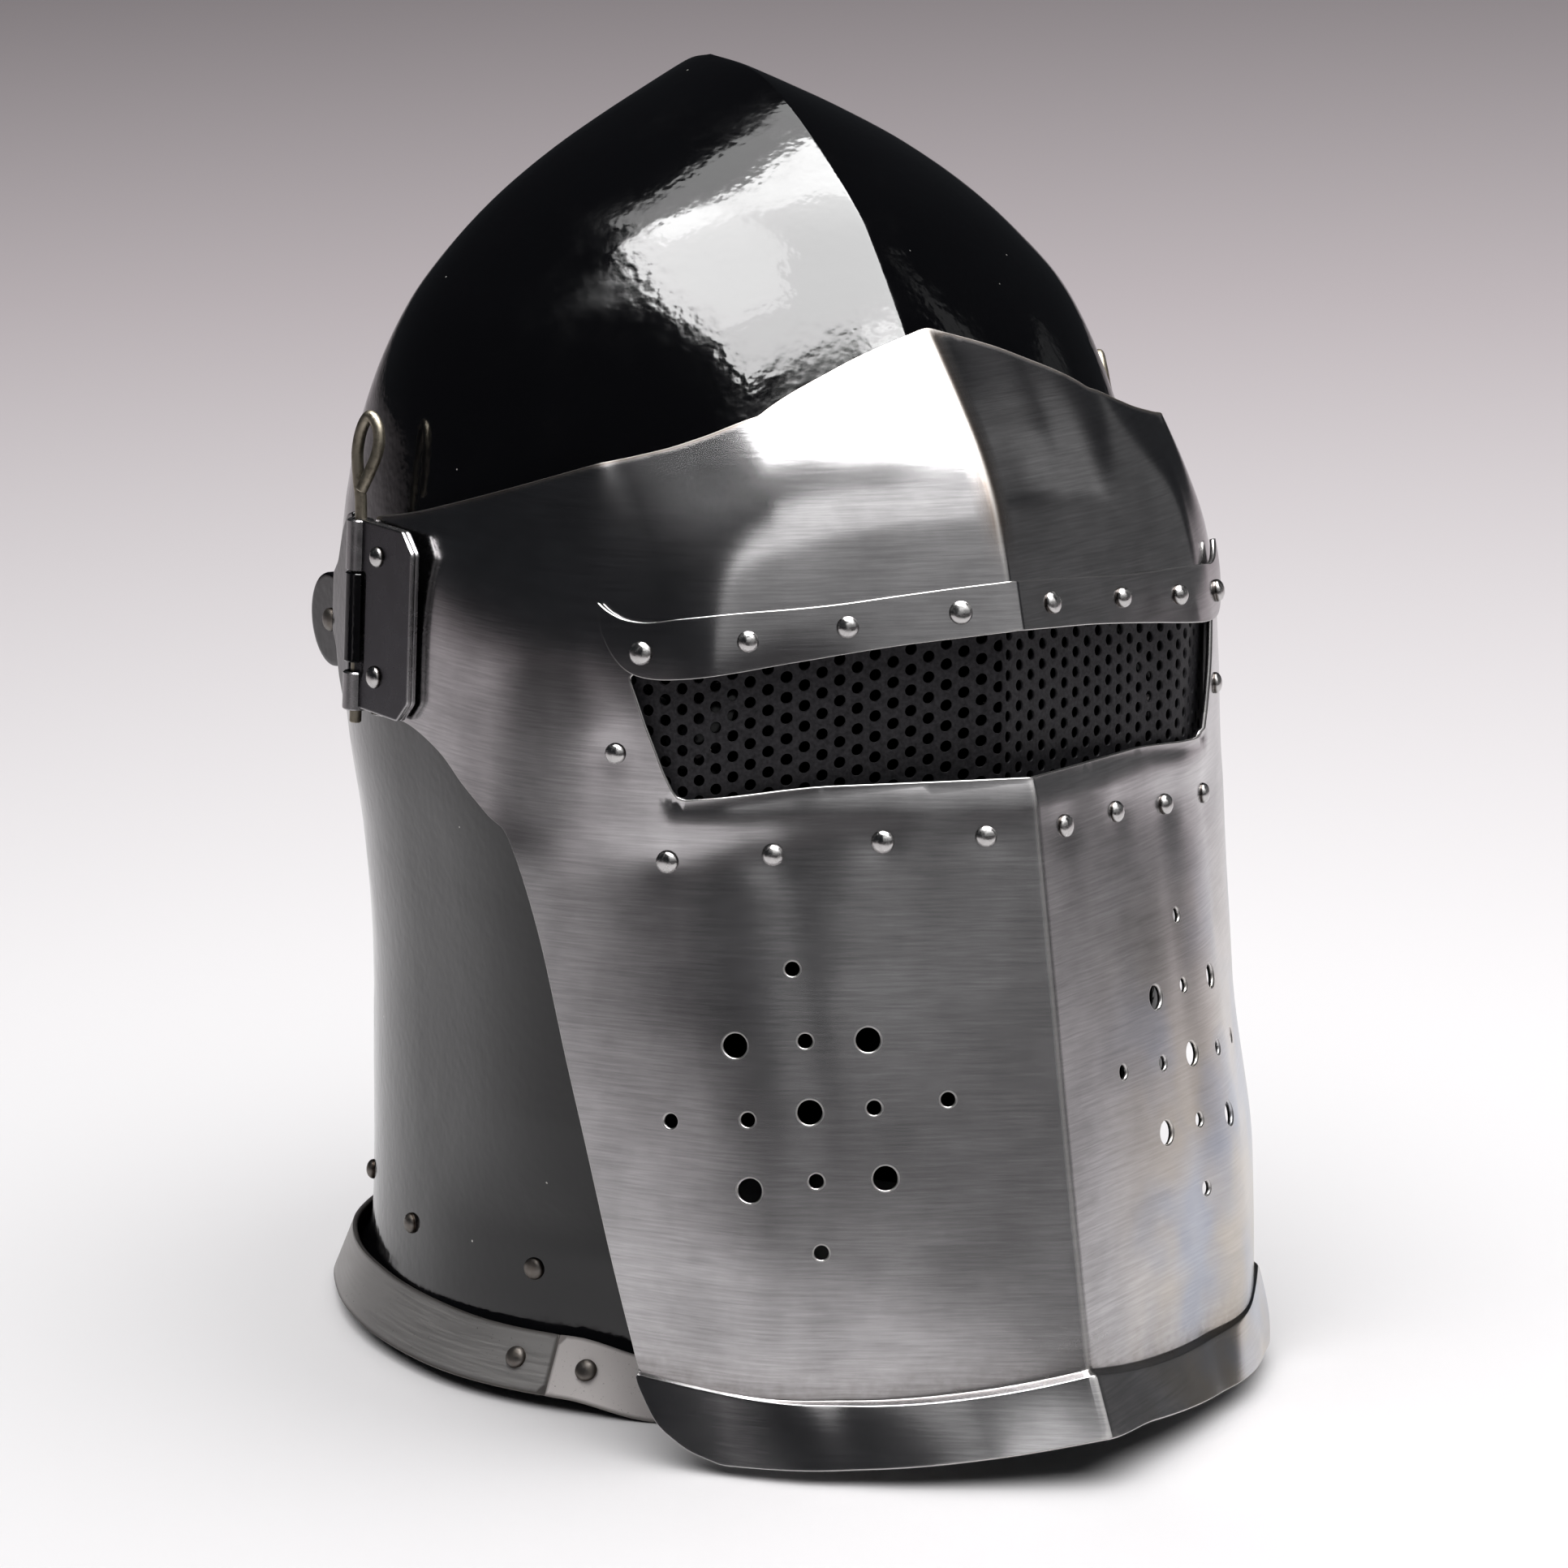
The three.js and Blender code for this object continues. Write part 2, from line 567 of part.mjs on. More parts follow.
// Hinge frame: local x outwards, y backwards, z along the pin
const hingeFrame = new THREE.Matrix4()
  .makeTranslation(HINGE.x, HINGE.y, HINGE.z)
  .multiply(new THREE.Matrix4().makeRotationY(-HINGE.tilt))
  .multiply(new THREE.Matrix4().makeRotationZ(-HINGE.turn));
const LEAF_RIVETS = { y: -11, z: [15.5, -14.5], depth: HINGE.leaf + PLATE + 1.2 };

function leafRivetSpot(z) {
  const point = new THREE.Vector3(HINGE.leaf / 2 + GAP, LEAF_RIVETS.y, z).applyMatrix4(hingeFrame);
  return { point, normal: new THREE.Vector3(1, 0, 0).transformDirection(hingeFrame) };
}

// A tube round the pin between two heights of the hinge
function knuckle([low, high]) {
  const profile = [
    [HINGE.bore, low], [HINGE.barrel, low], [HINGE.barrel, high], [HINGE.bore, high], [HINGE.bore, low],
  ];
  const tube = new THREE.LatheGeometry(profile.map(([r, h]) => new THREE.Vector2(r, h)), 10);
  return solid(tube.rotateX(Math.PI / 2));
}

function pinClearance() {
  return solid(new THREE.CylinderGeometry(HINGE.bore, HINGE.bore, FAR, 10).rotateX(Math.PI / 2));
}

function makeLeaf() {
  const { reach, half, chamfer, window } = HINGE;
  const plate = outline([
    [0, -half], [0, half], [-reach + chamfer, half], [-reach, half - chamfer],
    [-reach, -half + chamfer], [-reach + chamfer, -half],
  ]);
  const [low, high] = [KNUCKLES.arm[0] - 2, KNUCKLES.top[0]];
  const gap = outline([[-window, low], [window, low], [window, high], [-window, high]]);
  const body = prism(plate, ACROSS, -HINGE.leaf / 2, HINGE.leaf / 2)
    .subtract(prism(gap, ACROSS, -FAR, FAR))
    .subtract(pinClearance())
    .add(knuckle(KNUCKLES.top))
    .add(knuckle(KNUCKLES.bottom));
  const holes = LEAF_RIVETS.z.map((z) =>
    drill(RIVET_HOLE, RIVET.sides, new THREE.Vector3(0, LEAF_RIVETS.y, z), OUTWARD));
  return cut(body, holes);
}

// Pivot arm: a black plate behind the hinge with its middle knuckle and a round boss on the pivot
const ARM = { thick: 2, slope: 0.21, bossInner: 101.6, bossOuter: 104.4 };
// Its plate: distance behind the pin, and height along it
const ARM_PLATE = [
  [0.5, -12], [4.8, -12.1], [4.8, -25], [10.4, -23.4], [15, -19], [19, -12], [24, -8],
  [24, 6], [19, 10], [15, 18.5], [10.4, 23], [4.8, 24.5], [4.8, 10], [0.5, 9.9],
];
const ARM_FRAME = new THREE.Matrix4()
  .makeTranslation(HINGE.x, HINGE.y, HINGE.z)
  .multiply(new THREE.Matrix4().makeRotationY(-HINGE.tilt));

function makeArm() {
  const lie = new THREE.Matrix4().makeRotationZ(ARM.slope).multiply(ACROSS);
  const plate = prism(outline(ARM_PLATE), lie, -ARM.thick / 2, ARM.thick / 2);
  const placed = plate.subtract(pinClearance()).add(knuckle(KNUCKLES.arm));
  const world = solid(geometryOf(placed), ARM_FRAME);
  const middle = new THREE.Vector3((ARM.bossInner + ARM.bossOuter) / 2, PIVOT.y, PIVOT.z);
  const boss = drill(PIVOT.boss, 18, middle, OUTWARD, ARM.bossOuter - ARM.bossInner);
  return world.add(boss).subtract(drill(PIVOT.hole, 8, middle, OUTWARD));
}

// Hinge pin: straight wire bent into an eye above the hinge; u across the eye, n out of its plane
const PIN_PATH = table(["u", "n", "h"], [
  [0, 0, -27.5], [0, 0, -10], [0, 0, 8], [0, 0, 26], [-0.9, 0, 33], [-1.5, 0, 40], [-0.3, 0, 46],
  [2.1, 0.2, 49.2], [5, 0.8, 46.5], [5.7, 1.6, 41.5], [4.2, 2.6, 36], [2.2, 3.3, 31.2],
]);

function makePin() {
  const across = new THREE.Vector3(-Math.sin(PIN.turn), -Math.cos(PIN.turn), 0);
  const out = new THREE.Vector3(-across.y, across.x, 0);
  const points = PIN_PATH.map(({ u, n, h }) =>
    across.clone().multiplyScalar(u).addScaledVector(out, n).setZ(h));
  const section = outline(Array.from({ length: 6 }, (_, i) => {
    const a = (i * Math.PI) / 3;
    return [PIN.wire * Math.cos(a), PIN.wire * Math.sin(a)];
  }));
  const path = new THREE.CatmullRomCurve3(points);
  return new THREE.ExtrudeGeometry(section, { steps: PIN.steps, extrudePath: path });
}

// Assembly
add(helmet, "skull", makeSkull(), materials.black);
const rear = drillRim(rimStrip(RIM_SEAM, 360 - RIM_SEAM, 28), RIM_RIVETS.rear);
add(helmet, "rear_rim", rear, materials.steel);
add(helmet, "visor", makeVisor(), materials.steel);
add(helmet, "brow_strip", makeBrowStrip(), materials.steel);
add(helmet, "sight_plate", makeSightPlate(), materials.sight);

for (const { name, group } of sides) {
  const front = drillRim(rimStrip(RIM_FRONT, RIM_SEAM - 0.3, 4), RIM_RIVETS.front);
  add(group, `front_rim_${name}`, front, materials.steel);
  for (const [place, angle] of Object.entries(RIM_RIVETS)) {
    const { point, normal } = rimRivetSpot(angle);
    addRivet(group, `rim_rivet_${place}_${name}`, point, normal, RIM_RIVET_DEPTH);
  }
  NECK_RIVETS.angles.forEach((angle, i) => {
    const { point, normal } = spotOnSkull(angle, NECK_RIVETS.z);
    point.addScaledVector(normal, RIVET.seat);
    addRivet(group, `neck_rivet_${i + 1}_${name}`, point, normal, NECK_RIVETS.depth);
  });
  const rows = { brow: BROW_RIVETS, cheek: CHEEK_RIVETS, side: SIDE_RIVETS };
  for (const [place, spots] of Object.entries(rows)) {
    spots.forEach(({ x, z }, i) => {
      const over = place === "brow" ? STRIP_SEAT + STRIP + GAP : RIVET.seat;
      const { point, normal } = spotOnVisor(x, z, over);
      const tail = place === "cheek" ? SIGHT.back + SIGHT_PLATE + 0.5 : PLATE + 0.4;
      addRivet(group, `${place}_rivet_${i + 1}_${name}`, point, normal, over + tail);
    });
  }
  add(group, `hinge_leaf_${name}`, makeLeaf(), materials.steel).applyMatrix4(hingeFrame);
  LEAF_RIVETS.z.forEach((z, i) => {
    const { point, normal } = leafRivetSpot(z);
    addRivet(group, `leaf_rivet_${i + 1}_${name}`, point, normal, LEAF_RIVETS.depth);
  });
  add(group, `pivot_arm_${name}`, makeArm(), materials.black);
  const pivot = new THREE.Vector3(ARM.bossOuter + GAP, PIVOT.y, PIVOT.z);
  addRivet(group, `pivot_rivet_${name}`, pivot, OUTWARD, PIVOT.depth, PIVOT.rivetHead, PIVOT.shank);
  add(group, `hinge_pin_${name}`, makePin(), materials.wire).applyMatrix4(ARM_FRAME);
}

export default helmet;
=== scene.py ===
"""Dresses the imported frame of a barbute: a gloss black skull and a hinged satin steel visor.

Lengths in the tables are millimetres in the frame's own axes: +Z up, the front towards -Y and the
wearer's left towards +X. Meshes are made in millimetres and turned to metres as they become pieces.
"""

import json
import math

import bpy
import numpy as np
from mathutils import Euler, Matrix, Vector
from mathutils.geometry import delaunay_2d_cdt
from mathutils.kdtree import KDTree
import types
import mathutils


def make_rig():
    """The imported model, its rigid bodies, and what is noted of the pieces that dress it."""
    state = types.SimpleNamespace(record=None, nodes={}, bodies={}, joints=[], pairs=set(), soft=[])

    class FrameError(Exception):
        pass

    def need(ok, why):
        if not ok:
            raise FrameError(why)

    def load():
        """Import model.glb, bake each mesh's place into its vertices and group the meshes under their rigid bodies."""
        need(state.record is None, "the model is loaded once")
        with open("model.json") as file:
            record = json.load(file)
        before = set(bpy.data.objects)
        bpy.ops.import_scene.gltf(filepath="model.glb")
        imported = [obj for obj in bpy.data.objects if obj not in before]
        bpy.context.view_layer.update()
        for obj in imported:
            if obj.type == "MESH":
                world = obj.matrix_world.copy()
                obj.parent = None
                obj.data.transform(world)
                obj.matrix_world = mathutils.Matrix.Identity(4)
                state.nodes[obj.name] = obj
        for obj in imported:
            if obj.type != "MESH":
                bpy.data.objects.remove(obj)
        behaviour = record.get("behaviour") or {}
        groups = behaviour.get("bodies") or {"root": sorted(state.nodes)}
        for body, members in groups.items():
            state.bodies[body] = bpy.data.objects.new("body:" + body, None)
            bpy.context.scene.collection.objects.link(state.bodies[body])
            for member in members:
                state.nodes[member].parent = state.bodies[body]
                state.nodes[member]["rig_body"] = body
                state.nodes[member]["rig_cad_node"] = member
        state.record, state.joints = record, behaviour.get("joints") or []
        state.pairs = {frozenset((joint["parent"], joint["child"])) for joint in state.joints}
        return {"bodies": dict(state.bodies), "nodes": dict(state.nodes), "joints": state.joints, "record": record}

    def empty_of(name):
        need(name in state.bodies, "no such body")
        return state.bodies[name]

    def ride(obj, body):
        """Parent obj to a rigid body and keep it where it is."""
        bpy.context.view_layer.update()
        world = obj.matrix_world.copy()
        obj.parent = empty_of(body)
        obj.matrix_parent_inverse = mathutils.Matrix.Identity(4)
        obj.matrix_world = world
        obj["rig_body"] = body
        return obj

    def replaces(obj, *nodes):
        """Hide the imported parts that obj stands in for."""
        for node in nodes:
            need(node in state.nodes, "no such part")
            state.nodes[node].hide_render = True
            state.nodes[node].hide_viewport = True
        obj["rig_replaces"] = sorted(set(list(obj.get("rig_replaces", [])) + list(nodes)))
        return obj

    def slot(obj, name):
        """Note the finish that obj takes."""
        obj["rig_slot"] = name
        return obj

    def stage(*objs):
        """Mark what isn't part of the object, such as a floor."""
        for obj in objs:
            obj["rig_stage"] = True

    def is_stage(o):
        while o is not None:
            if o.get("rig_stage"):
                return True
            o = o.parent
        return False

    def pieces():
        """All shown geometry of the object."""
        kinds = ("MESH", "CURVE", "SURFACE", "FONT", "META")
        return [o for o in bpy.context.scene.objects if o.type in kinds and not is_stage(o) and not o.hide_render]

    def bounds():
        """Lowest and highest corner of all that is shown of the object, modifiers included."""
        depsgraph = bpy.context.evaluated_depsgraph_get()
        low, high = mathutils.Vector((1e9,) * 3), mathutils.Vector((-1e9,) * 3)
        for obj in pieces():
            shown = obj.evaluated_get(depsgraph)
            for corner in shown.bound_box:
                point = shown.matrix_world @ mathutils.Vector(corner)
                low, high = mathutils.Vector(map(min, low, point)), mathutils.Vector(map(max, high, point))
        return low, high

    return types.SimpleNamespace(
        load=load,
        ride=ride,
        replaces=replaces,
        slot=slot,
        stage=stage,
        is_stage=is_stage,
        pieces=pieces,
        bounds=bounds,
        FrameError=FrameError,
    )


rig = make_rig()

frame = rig.load()
CAD_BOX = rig.bounds()

bl_info = {
    "name": "Barbute dresser",
    "version": (1, 0, 0),
    "blender": (4, 5, 0),
    "location": "View3D > Sidebar > Barbute",
    "description": "Builds the skull, visor, sight plate, rims, rivets and hinges of a barbute",
    "category": "Object",
}

MM = 0.001
SIDES = (("left", 1), ("right", -1))
SIZE_FILE = "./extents.json"


def linear(code):
    """An sRGB hex colour as linear red, green and blue."""
    values = [int(code[i : i + 2], 16) / 255 for i in (1, 3, 5)]
    return [v / 12.92 if v <= 0.04045 else ((v + 0.055) / 1.055) ** 2.4 for v in values]


def spline(knots, at, straight=0):
    """A Catmull-Rom curve at fractional knot numbers, straight below knot `straight`."""
    at = np.asarray(at, float)
    knots = np.broadcast_to(knots, at.shape + knots.shape[-2:])
    count = knots.shape[-2]
    i = np.clip(np.floor(at).astype(int), 0, count - 2)
    a, b, c, d = (
        np.take_along_axis(knots, np.clip(i + k, 0, count - 1)[..., None, None], -2)[..., 0, :]
        for k in (-1, 0, 1, 2)
    )
    a = np.where((i > straight)[..., None], a, 2 * b - c)
    d = np.where((i + 2 < count)[..., None], d, 2 * c - b)
    t = (at - i)[..., None]
    bend = 2 * a - 5 * b + 4 * c - d + t * (3 * (b - c) + d - a)
    curve = b + 0.5 * t * (c - a + t * bend)
    return np.where((i < straight)[..., None], b + (c - b) * t, curve)


class Table:
    """Rows of named columns that are read as smooth curves at fractional row numbers."""

    def __init__(self, columns, rows, straight=0):
        self.columns = columns.split()
        self.rows = np.array(rows, float)
        self.straight = straight
        self.last = len(rows) - 1

    def at(self, row):
        values = spline(self.rows, row, self.straight)
        return dict(zip(self.columns, np.moveaxis(values, -1, 0)))

    def __iter__(self):
        return (dict(zip(self.columns, row)) for row in self.rows)


# Skull sections: height, half-width, front, widest and back y, sharpness of the front and back keel
SKULL = Table("z wide front middle back keel nape", [
    [0, 106.5, -83, 17, 146, 0, 0],
    [6, 103.2, -79.5, 17, 142.5, 0, 0],
    [12, 99.8, -76, 17, 138.5, 0, 0],
    [18, 98, -74, 17, 136.5, 0, 0],
    [35, 97.3, -73, 17, 135.5, 0, 0],
    [62, 97, -70, 17, 135, 0, 0],
    [97, 96.7, -69, 17.5, 134.5, 0, 0],
    [127, 98.7, -71, 18, 137, 0.03, 0.01],
    [152, 101.5, -76, 19, 143.5, 0.06, 0.03],
    [177, 102.8, -82, 19.5, 147.5, 0.09, 0.04],
    [202, 101.8, -84, 20, 147, 0.12, 0.05],
    [227, 99, -78, 24, 136.5, 0.17, 0.08],
    [247, 95.6, -66, 27.5, 116.5, 0.21, 0.11],
    [264.5, 88.4, -53.9, 30, 99.2, 0.24, 0.14],
    [278.5, 76.6, -43, 33, 89.3, 0.26, 0.17],
    [290.5, 63.3, -32.2, 35.5, 80, 0.28, 0.2],
    [301.5, 47.4, -17.5, 37.5, 71.1, 0.3, 0.22],
    [310.5, 30.7, -3.7, 39.5, 65.3, 0.32, 0.25],
    [317.5, 15.5, 9.5, 41, 61, 0.34, 0.28],
    [322, 5, 23.5, 42.5, 54.5, 0.35, 0.3],
    [323.9, 0, 44, 44, 44, 0.35, 0.3],
])
# Visor sections: height at the ridge, cheek (x 50) and side (x 90); y at the ridge and at
# x 25, 50 and 75; half-width at the two side stations
VISOR = Table("z_ridge z_cheek z_side y0 y25 y50 y75 x_near x_far", [
    [12.4, 4.8, 2.6, -152.2, -139.8, -124.4, -102.4, 124, 110],
    [25.9, 18.2, 21.4, -145, -131.8, -117, -96.6, 109.6, 108.6],
    [26.4, 18.7, 22, -141.8, -128.3, -114, -95.5, 107, 108],
    [44.5, 38.5, 36.5, -138, -126, -113, -94.2, 107.5, 108],
    [64.5, 58.5, 54, -133.8, -122.6, -110.4, -92, 107.5, 108],
    [87.5, 81.5, 77, -129.2, -118.2, -106.2, -87.8, 107, 108],
    [110.5, 104.5, 100, -124.9, -113.6, -101.4, -83, 106.5, 108.2],
    [132.5, 126.5, 122, -120.6, -108.8, -95.7, -77.8, 105.5, 108.4],
    [152.5, 146.5, 142, -116.8, -104.6, -90.4, -74, 104.5, 108.6],
    [165.5, 159.5, 155, -114.6, -102.4, -89.2, -74.4, 103, 108.6],
    [187.5, 181.5, 177, -109.5, -98.9, -87.7, -74.8, 101.5, 108.4],
    [205.5, 199.5, 195, -103.5, -95, -85.8, -72.6, 100, 107.8],
    [218.5, 213, 209.5, -99.4, -91.7, -82.8, -67.8, 97, 107],
    [229.5, 224.5, 221.5, -95.2, -87.8, -78.4, -61.6, 92, 105.8],
    [239.5, 235.5, 233.5, -89, -81.8, -71.8, -52.5, 86, 103.8],
    [249.5, 246.5, 245.5, -80.4, -73.4, -63.4, -42, 79, 100],
    [259.5, 257.5, 257.5, -71, -64.2, -53.6, -30, 71.5, 95],
    [268.5, 267.5, 267.5, -62.2, -55.2, -43.6, -16, 57.5, 87],
], straight=2)
CHEEK_X, SIDE_X = 50, 90
VISOR_KNOTS = {"y0": 0, "y25": 25, "y50": 50, "y75": 75}
SIDE_STATIONS = {"x_near": -36, "x_far": 29}
HINGE_STATION = 5
SIDE_REACH = 95
# Visor outline seen from the side: along the brow's top edge to the hinge, then down to the flange
TOP_EDGE = Table("y z", [
    [-63.6, 249], [-58, 243.8], [-49.6, 239.3], [-23, 229.5], [6, 220.4], [24, 216.4],
])
REAR_EDGE = Table("y z", [
    [24, 167], [6, 168], [-10.8, 164], [-22, 158], [-33, 152], [-40.5, 147], [-48.3, 128.5],
    [-58.8, 90.5], [-68.5, 55], [-75.2, 30], [-76.6, 24.4], [-78, 20.5], [-80.9, 16.4],
    [-85.4, 10.8], [-89.5, 7.6], [-93.3, 5.3], [-97.4, 3.8], [-102, 2.4], [-108, 1],
])
# Half of the sight slot, from the middle of its upper edge round to the middle of its lower edge
SLOT = Table("x z", [
    [0, 202], [45, 197], [80, 192], [83, 190], [80.5, 178], [77.5, 167], [75, 160], [45, 163.5],
    [0, 165.3],
])
# Lower and upper edges of the brow strip, which ends in upturned points
BROW_STRIP = Table("x low high", [
    [0, 199.5, 210.5], [12, 198.4, 209.5], [25, 197.2, 208.2], [38, 195.6, 206.8],
    [50, 193.8, 205.8], [62, 191.9, 204.9], [72, 190.3, 203.6], [78, 189.8, 202.4],
    [82, 191, 202.8], [84.5, 194.5, 204.4], [86, 199.5, 206.4],
])
BROW_RIVETS = Table("x z", [[12, 204], [37.7, 201.6], [59.8, 198.8], [79.8, 195.6]])
CHEEK_RIVETS = Table("x z", [[11.2, 152], [33, 150.8], [55.6, 147.6], [76.4, 145.3]])
SIDE_RIVETS = Table("x z", [[85.5, 171]])
# Breaths: a diamond of large and small holes on each cheek
BREATHS = Table("x z bore", [
    [54.5, 121.2, 4.1], [40.7, 104.8, 6.5], [53.7, 104.5, 4.1], [67.7, 103.1, 6.5],
    [24.8, 90.5, 4.1], [40.9, 88.9, 4.1], [54.3, 87.8, 6.5], [66.9, 85.8, 4.1],
    [80.1, 83.8, 4.1],
    [39.9, 72.3, 6.5], [54.3, 71.6, 4.1], [67.8, 69.1, 6.5], [54.5, 54.6, 4.1],
])
# Sight plate: the visor's row and last station that it follows, its gap behind the visor, the
# heights of its edges at the ridge, and the heights where it comes forward to the riveted seam
SIGHT = {"seat": 11, "ends": 3.55, "back": 0.9, "low": 143, "high": 207, "forward": (150, 162)}
PERFORATION = {"bore": 3.0, "pitch": 5.0, "low": 158, "high": 204, "reach": 97}
# Face opening: half-widths at the heights where it starts and where its arch springs, and its top
FACE_OPENING = {"low": 56, "wide": 62, "start": -10, "sill": 150, "top": 225}
# The lower edge lifts beside the face, between these angles from the front, and the lift fades out
# upwards. The strips stand off the skull at foot and head, the head more so past the gape's angles.
LIFT = {"most": 3.5, "fade": 60, "rise": (42, 56), "fall": 100, "left_end": 128, "right_end": 150}
RIM = {"tall": 14, "foot": 0.6, "head": 0.3, "gape": 2.6, "gape_turns": (88, 118)}
# Angles from the front, in degrees, of the seams, the front ends and the rivets
RIM_SEAM = 58.6
RIM_FRONT = 38
RIM_RIVETS = {"rear": 64.5, "front": 53}
NECK_RIVETS = {"z": 32.5, "angles": (64, 95, 120, 150)}
# Hinges: the pin's middle, its two small turns, and the sizes of the leaf and knuckles
HINGE = {
    "x": 109.4, "y": 27, "z": 192.4, "tilt": 0.047, "turn": 0.065,
    "reach": 27.5, "half": 23.6, "layer": 1.2, "chamfer": 5, "window": 5,
}
KNUCKLES = {"top": (10.5, 23.4), "arm": (-12.3, 10.2), "bottom": (-24.4, -14.8)}
LEAF_RIVETS = {"y": -11, "z": (15.5, -14.5)}
ARM = {"thick": 2, "slope": 0.21, "boss_inner": 101.6, "boss_outer": 104.4}
ARM_PLATE = [
    (0.5, -12), (4.8, -12.1), (4.8, -25), (10.4, -23.4), (15, -19), (19, -12), (24, -8),
    (24, 6), (19, 10), (15, 18.5), (10.4, 23), (4.8, 24.5), (4.8, 10), (0.5, 9.9),
]
PIVOT = {"y": 54, "z": 185.5, "boss": 12, "head": 3}
# Hinge pin: straight wire bent into an eye; u across the eye, n out of its plane, h along the pin
PIN_TURN = 0.52
PIN_PATH = Table("u n h", [
    [0, 0, -27.5], [0, 0, -10], [0, 0, 8], [0, 0, 26], [-0.9, 0, 33], [-1.5, 0, 40], [-0.3, 0, 46],
    [2.1, 0.2, 49.2], [5, 0.8, 46.5], [5.7, 1.6, 41.5], [4.2, 2.6, 36], [2.2, 3.3, 31.2],
])


# Properties
def length(name, description, millimetres):
    """A length property that is given in millimetres."""
    return bpy.props.FloatProperty(
        name=name, description=description, default=millimetres * MM, min=0,
        unit="LENGTH", precision=5,
    )


def colour(name, description, code):
    """A colour property that is given as sRGB hex."""
    return bpy.props.FloatVectorProperty(
        name=name, description=description, default=linear(code), size=3, min=0, max=1,
        subtype="COLOR",
    )


class BarbuteSizes(bpy.types.PropertyGroup):
    """Sizes of the plates, rivets and wire."""

    plate: length("Plate", "Thickness of the skull and visor plates", 1.6)
    strip: length("Brow strip", "Thickness of the strip riveted over the slot", 1.6)
    strip_seat: length("Strip seat", "Gap between the brow strip and the visor", 0.7)
    sight: length("Sight plate", "Thickness of the perforated plate", 1.0)
    rim: length("Rim", "Thickness of the strips round the lower edge", 1.5)
    rivet_head: length("Rivet head", "Radius of a rivet head", 2.7)
    rivet_rise: length("Rivet rise", "Height of a rivet head", 1.7)
    barrel: length("Barrel", "Outer radius of a hinge knuckle", 3.4)
    bore: length("Bore", "Inner radius of a hinge knuckle", 1.85)
    wire: length("Wire", "Radius of the hinge pins", 1.5)
    skin_step: length("Mesh step", "Distance between mesh points on the visor", 2.0)


class BarbuteFinish(bpy.types.PropertyGroup):
    """Colours of the finishes."""

    enamel: colour("Enamel", "Gloss black paint of the skull", "#08080a")
    steel: colour("Steel", "Satin steel of the visor", "#bbb9ba")
    rivet: colour("Rivets", "Polished rivet heads of the visor", "#bdbbba")
    dull: colour("Dull rivets", "Dull rivet heads of the neck", "#7d7b7a")
    rim: colour("Rim", "Plain steel strips round the lower edge", "#b6b3b1")
    zinc: colour("Zinc", "Zinc plating of the front rim strips", "#cfc9c7")
    hinge: colour("Hinge", "Oiled steel of the hinge leaves", "#3d3c40")
    sight: colour("Sight plate", "Satin black paint of the sight plate", "#09090a")
    # Also stands for painted shade on the backs of the rim strips
    wire: colour("Wire", "Drawn wire of the hinge pins", "#938c7e")
    grime: colour("Grime", "Brown dirt in seams and along edges", "#2c2118")
    floor: colour("Floor", "Pale studio floor", "#f2f0f1")


# Surfaces
def smooth(low, high, value):
    """0 below low, 1 above high and an even ease between them."""
    t = np.clip((np.asarray(value, float) - low) / (high - low), 0, 1)
    return t * t * (3 - 2 * t)


def rounded_corner(value, width):
    """A distance from a crease, with the crease rounded over `width` on each side."""
    return np.where(value < width, value * value / (2 * width) + width / 2, value)


def unit(vectors):
    return vectors / np.maximum(np.linalg.norm(vectors, axis=-1, keepdims=True), 1e-12)


def waves(points, seed, longest, height, count=10):
    """Low seeded waves over points, as left by working the plate by hand."""
    rng = np.random.default_rng(seed)
    total = np.zeros(len(points))
    for _ in range(count):
        direction = unit(rng.normal(size=3))
        phase = rng.uniform(0, 2 * math.pi)
        wave = longest * rng.uniform(0.5, 1)
        total += np.sin(points @ direction * 2 * math.pi / wave + phase)
    return total * height / math.sqrt(count)


def ring_turn(angle):
    """Degrees from the front on either side."""
    return np.abs((np.asarray(angle, float) + 180) % 360 - 180)


KEEL_ROUND = 0.014
# Squareness of the skull's front half, and the heights where it fades in and out
FULLNESS = {"most": 0.75, "from": (35, 75), "to": (150, 205)}


def fullness(z):
    """How much squarer than an ellipse the front half is at a height."""
    return FULLNESS["most"] * smooth(*FULLNESS["from"], z) * (1 - smooth(*FULLNESS["to"], z))


def skull_point(angle, row):
    """Skull surface at a ring angle in degrees from the front, towards +X, and a row number."""
    r = SKULL.at(row)
    a = np.radians(angle)
    ahead = np.cos(a) > 0
    power = np.where(ahead, 1 / (1 + fullness(r["z"])), 1)
    across = np.abs(np.sin(a)) ** power
    along = np.abs(np.cos(a)) ** power
    s = rounded_corner(np.abs(np.sin(a)), KEEL_ROUND)
    end = np.where(ahead, r["front"], r["back"])
    crease = np.where(ahead, r["keel"], r["nape"])
    share = (1 - crease) * along + crease * (1 - s)
    turn = ring_turn(angle)
    lift_end = np.where(np.sin(a) > 0, LIFT["left_end"], LIFT["right_end"])
    lift = LIFT["most"] * smooth(*LIFT["rise"], turn) * (1 - smooth(LIFT["fall"], lift_end, turn))
    z = r["z"] + lift * (1 - smooth(0, LIFT["fade"], r["z"]))
    x = r["wide"] * np.sign(np.sin(a)) * across
    return np.stack([x, r["middle"] + (end - r["middle"]) * share, z], -1)


RIDGE_ROUND = 0.07
BEND_ROUND = 0.06
BEND_SAMPLES = 9
# The slot's lower lip turns in, and fades out between two distances from the middle
SLOT_LIP = {"deep": 1.1, "wide": 7.0, "above": 2, "ends": (75, 78)}
RIVET_DISH = {"deep": 0.3, "wide": 5.5}
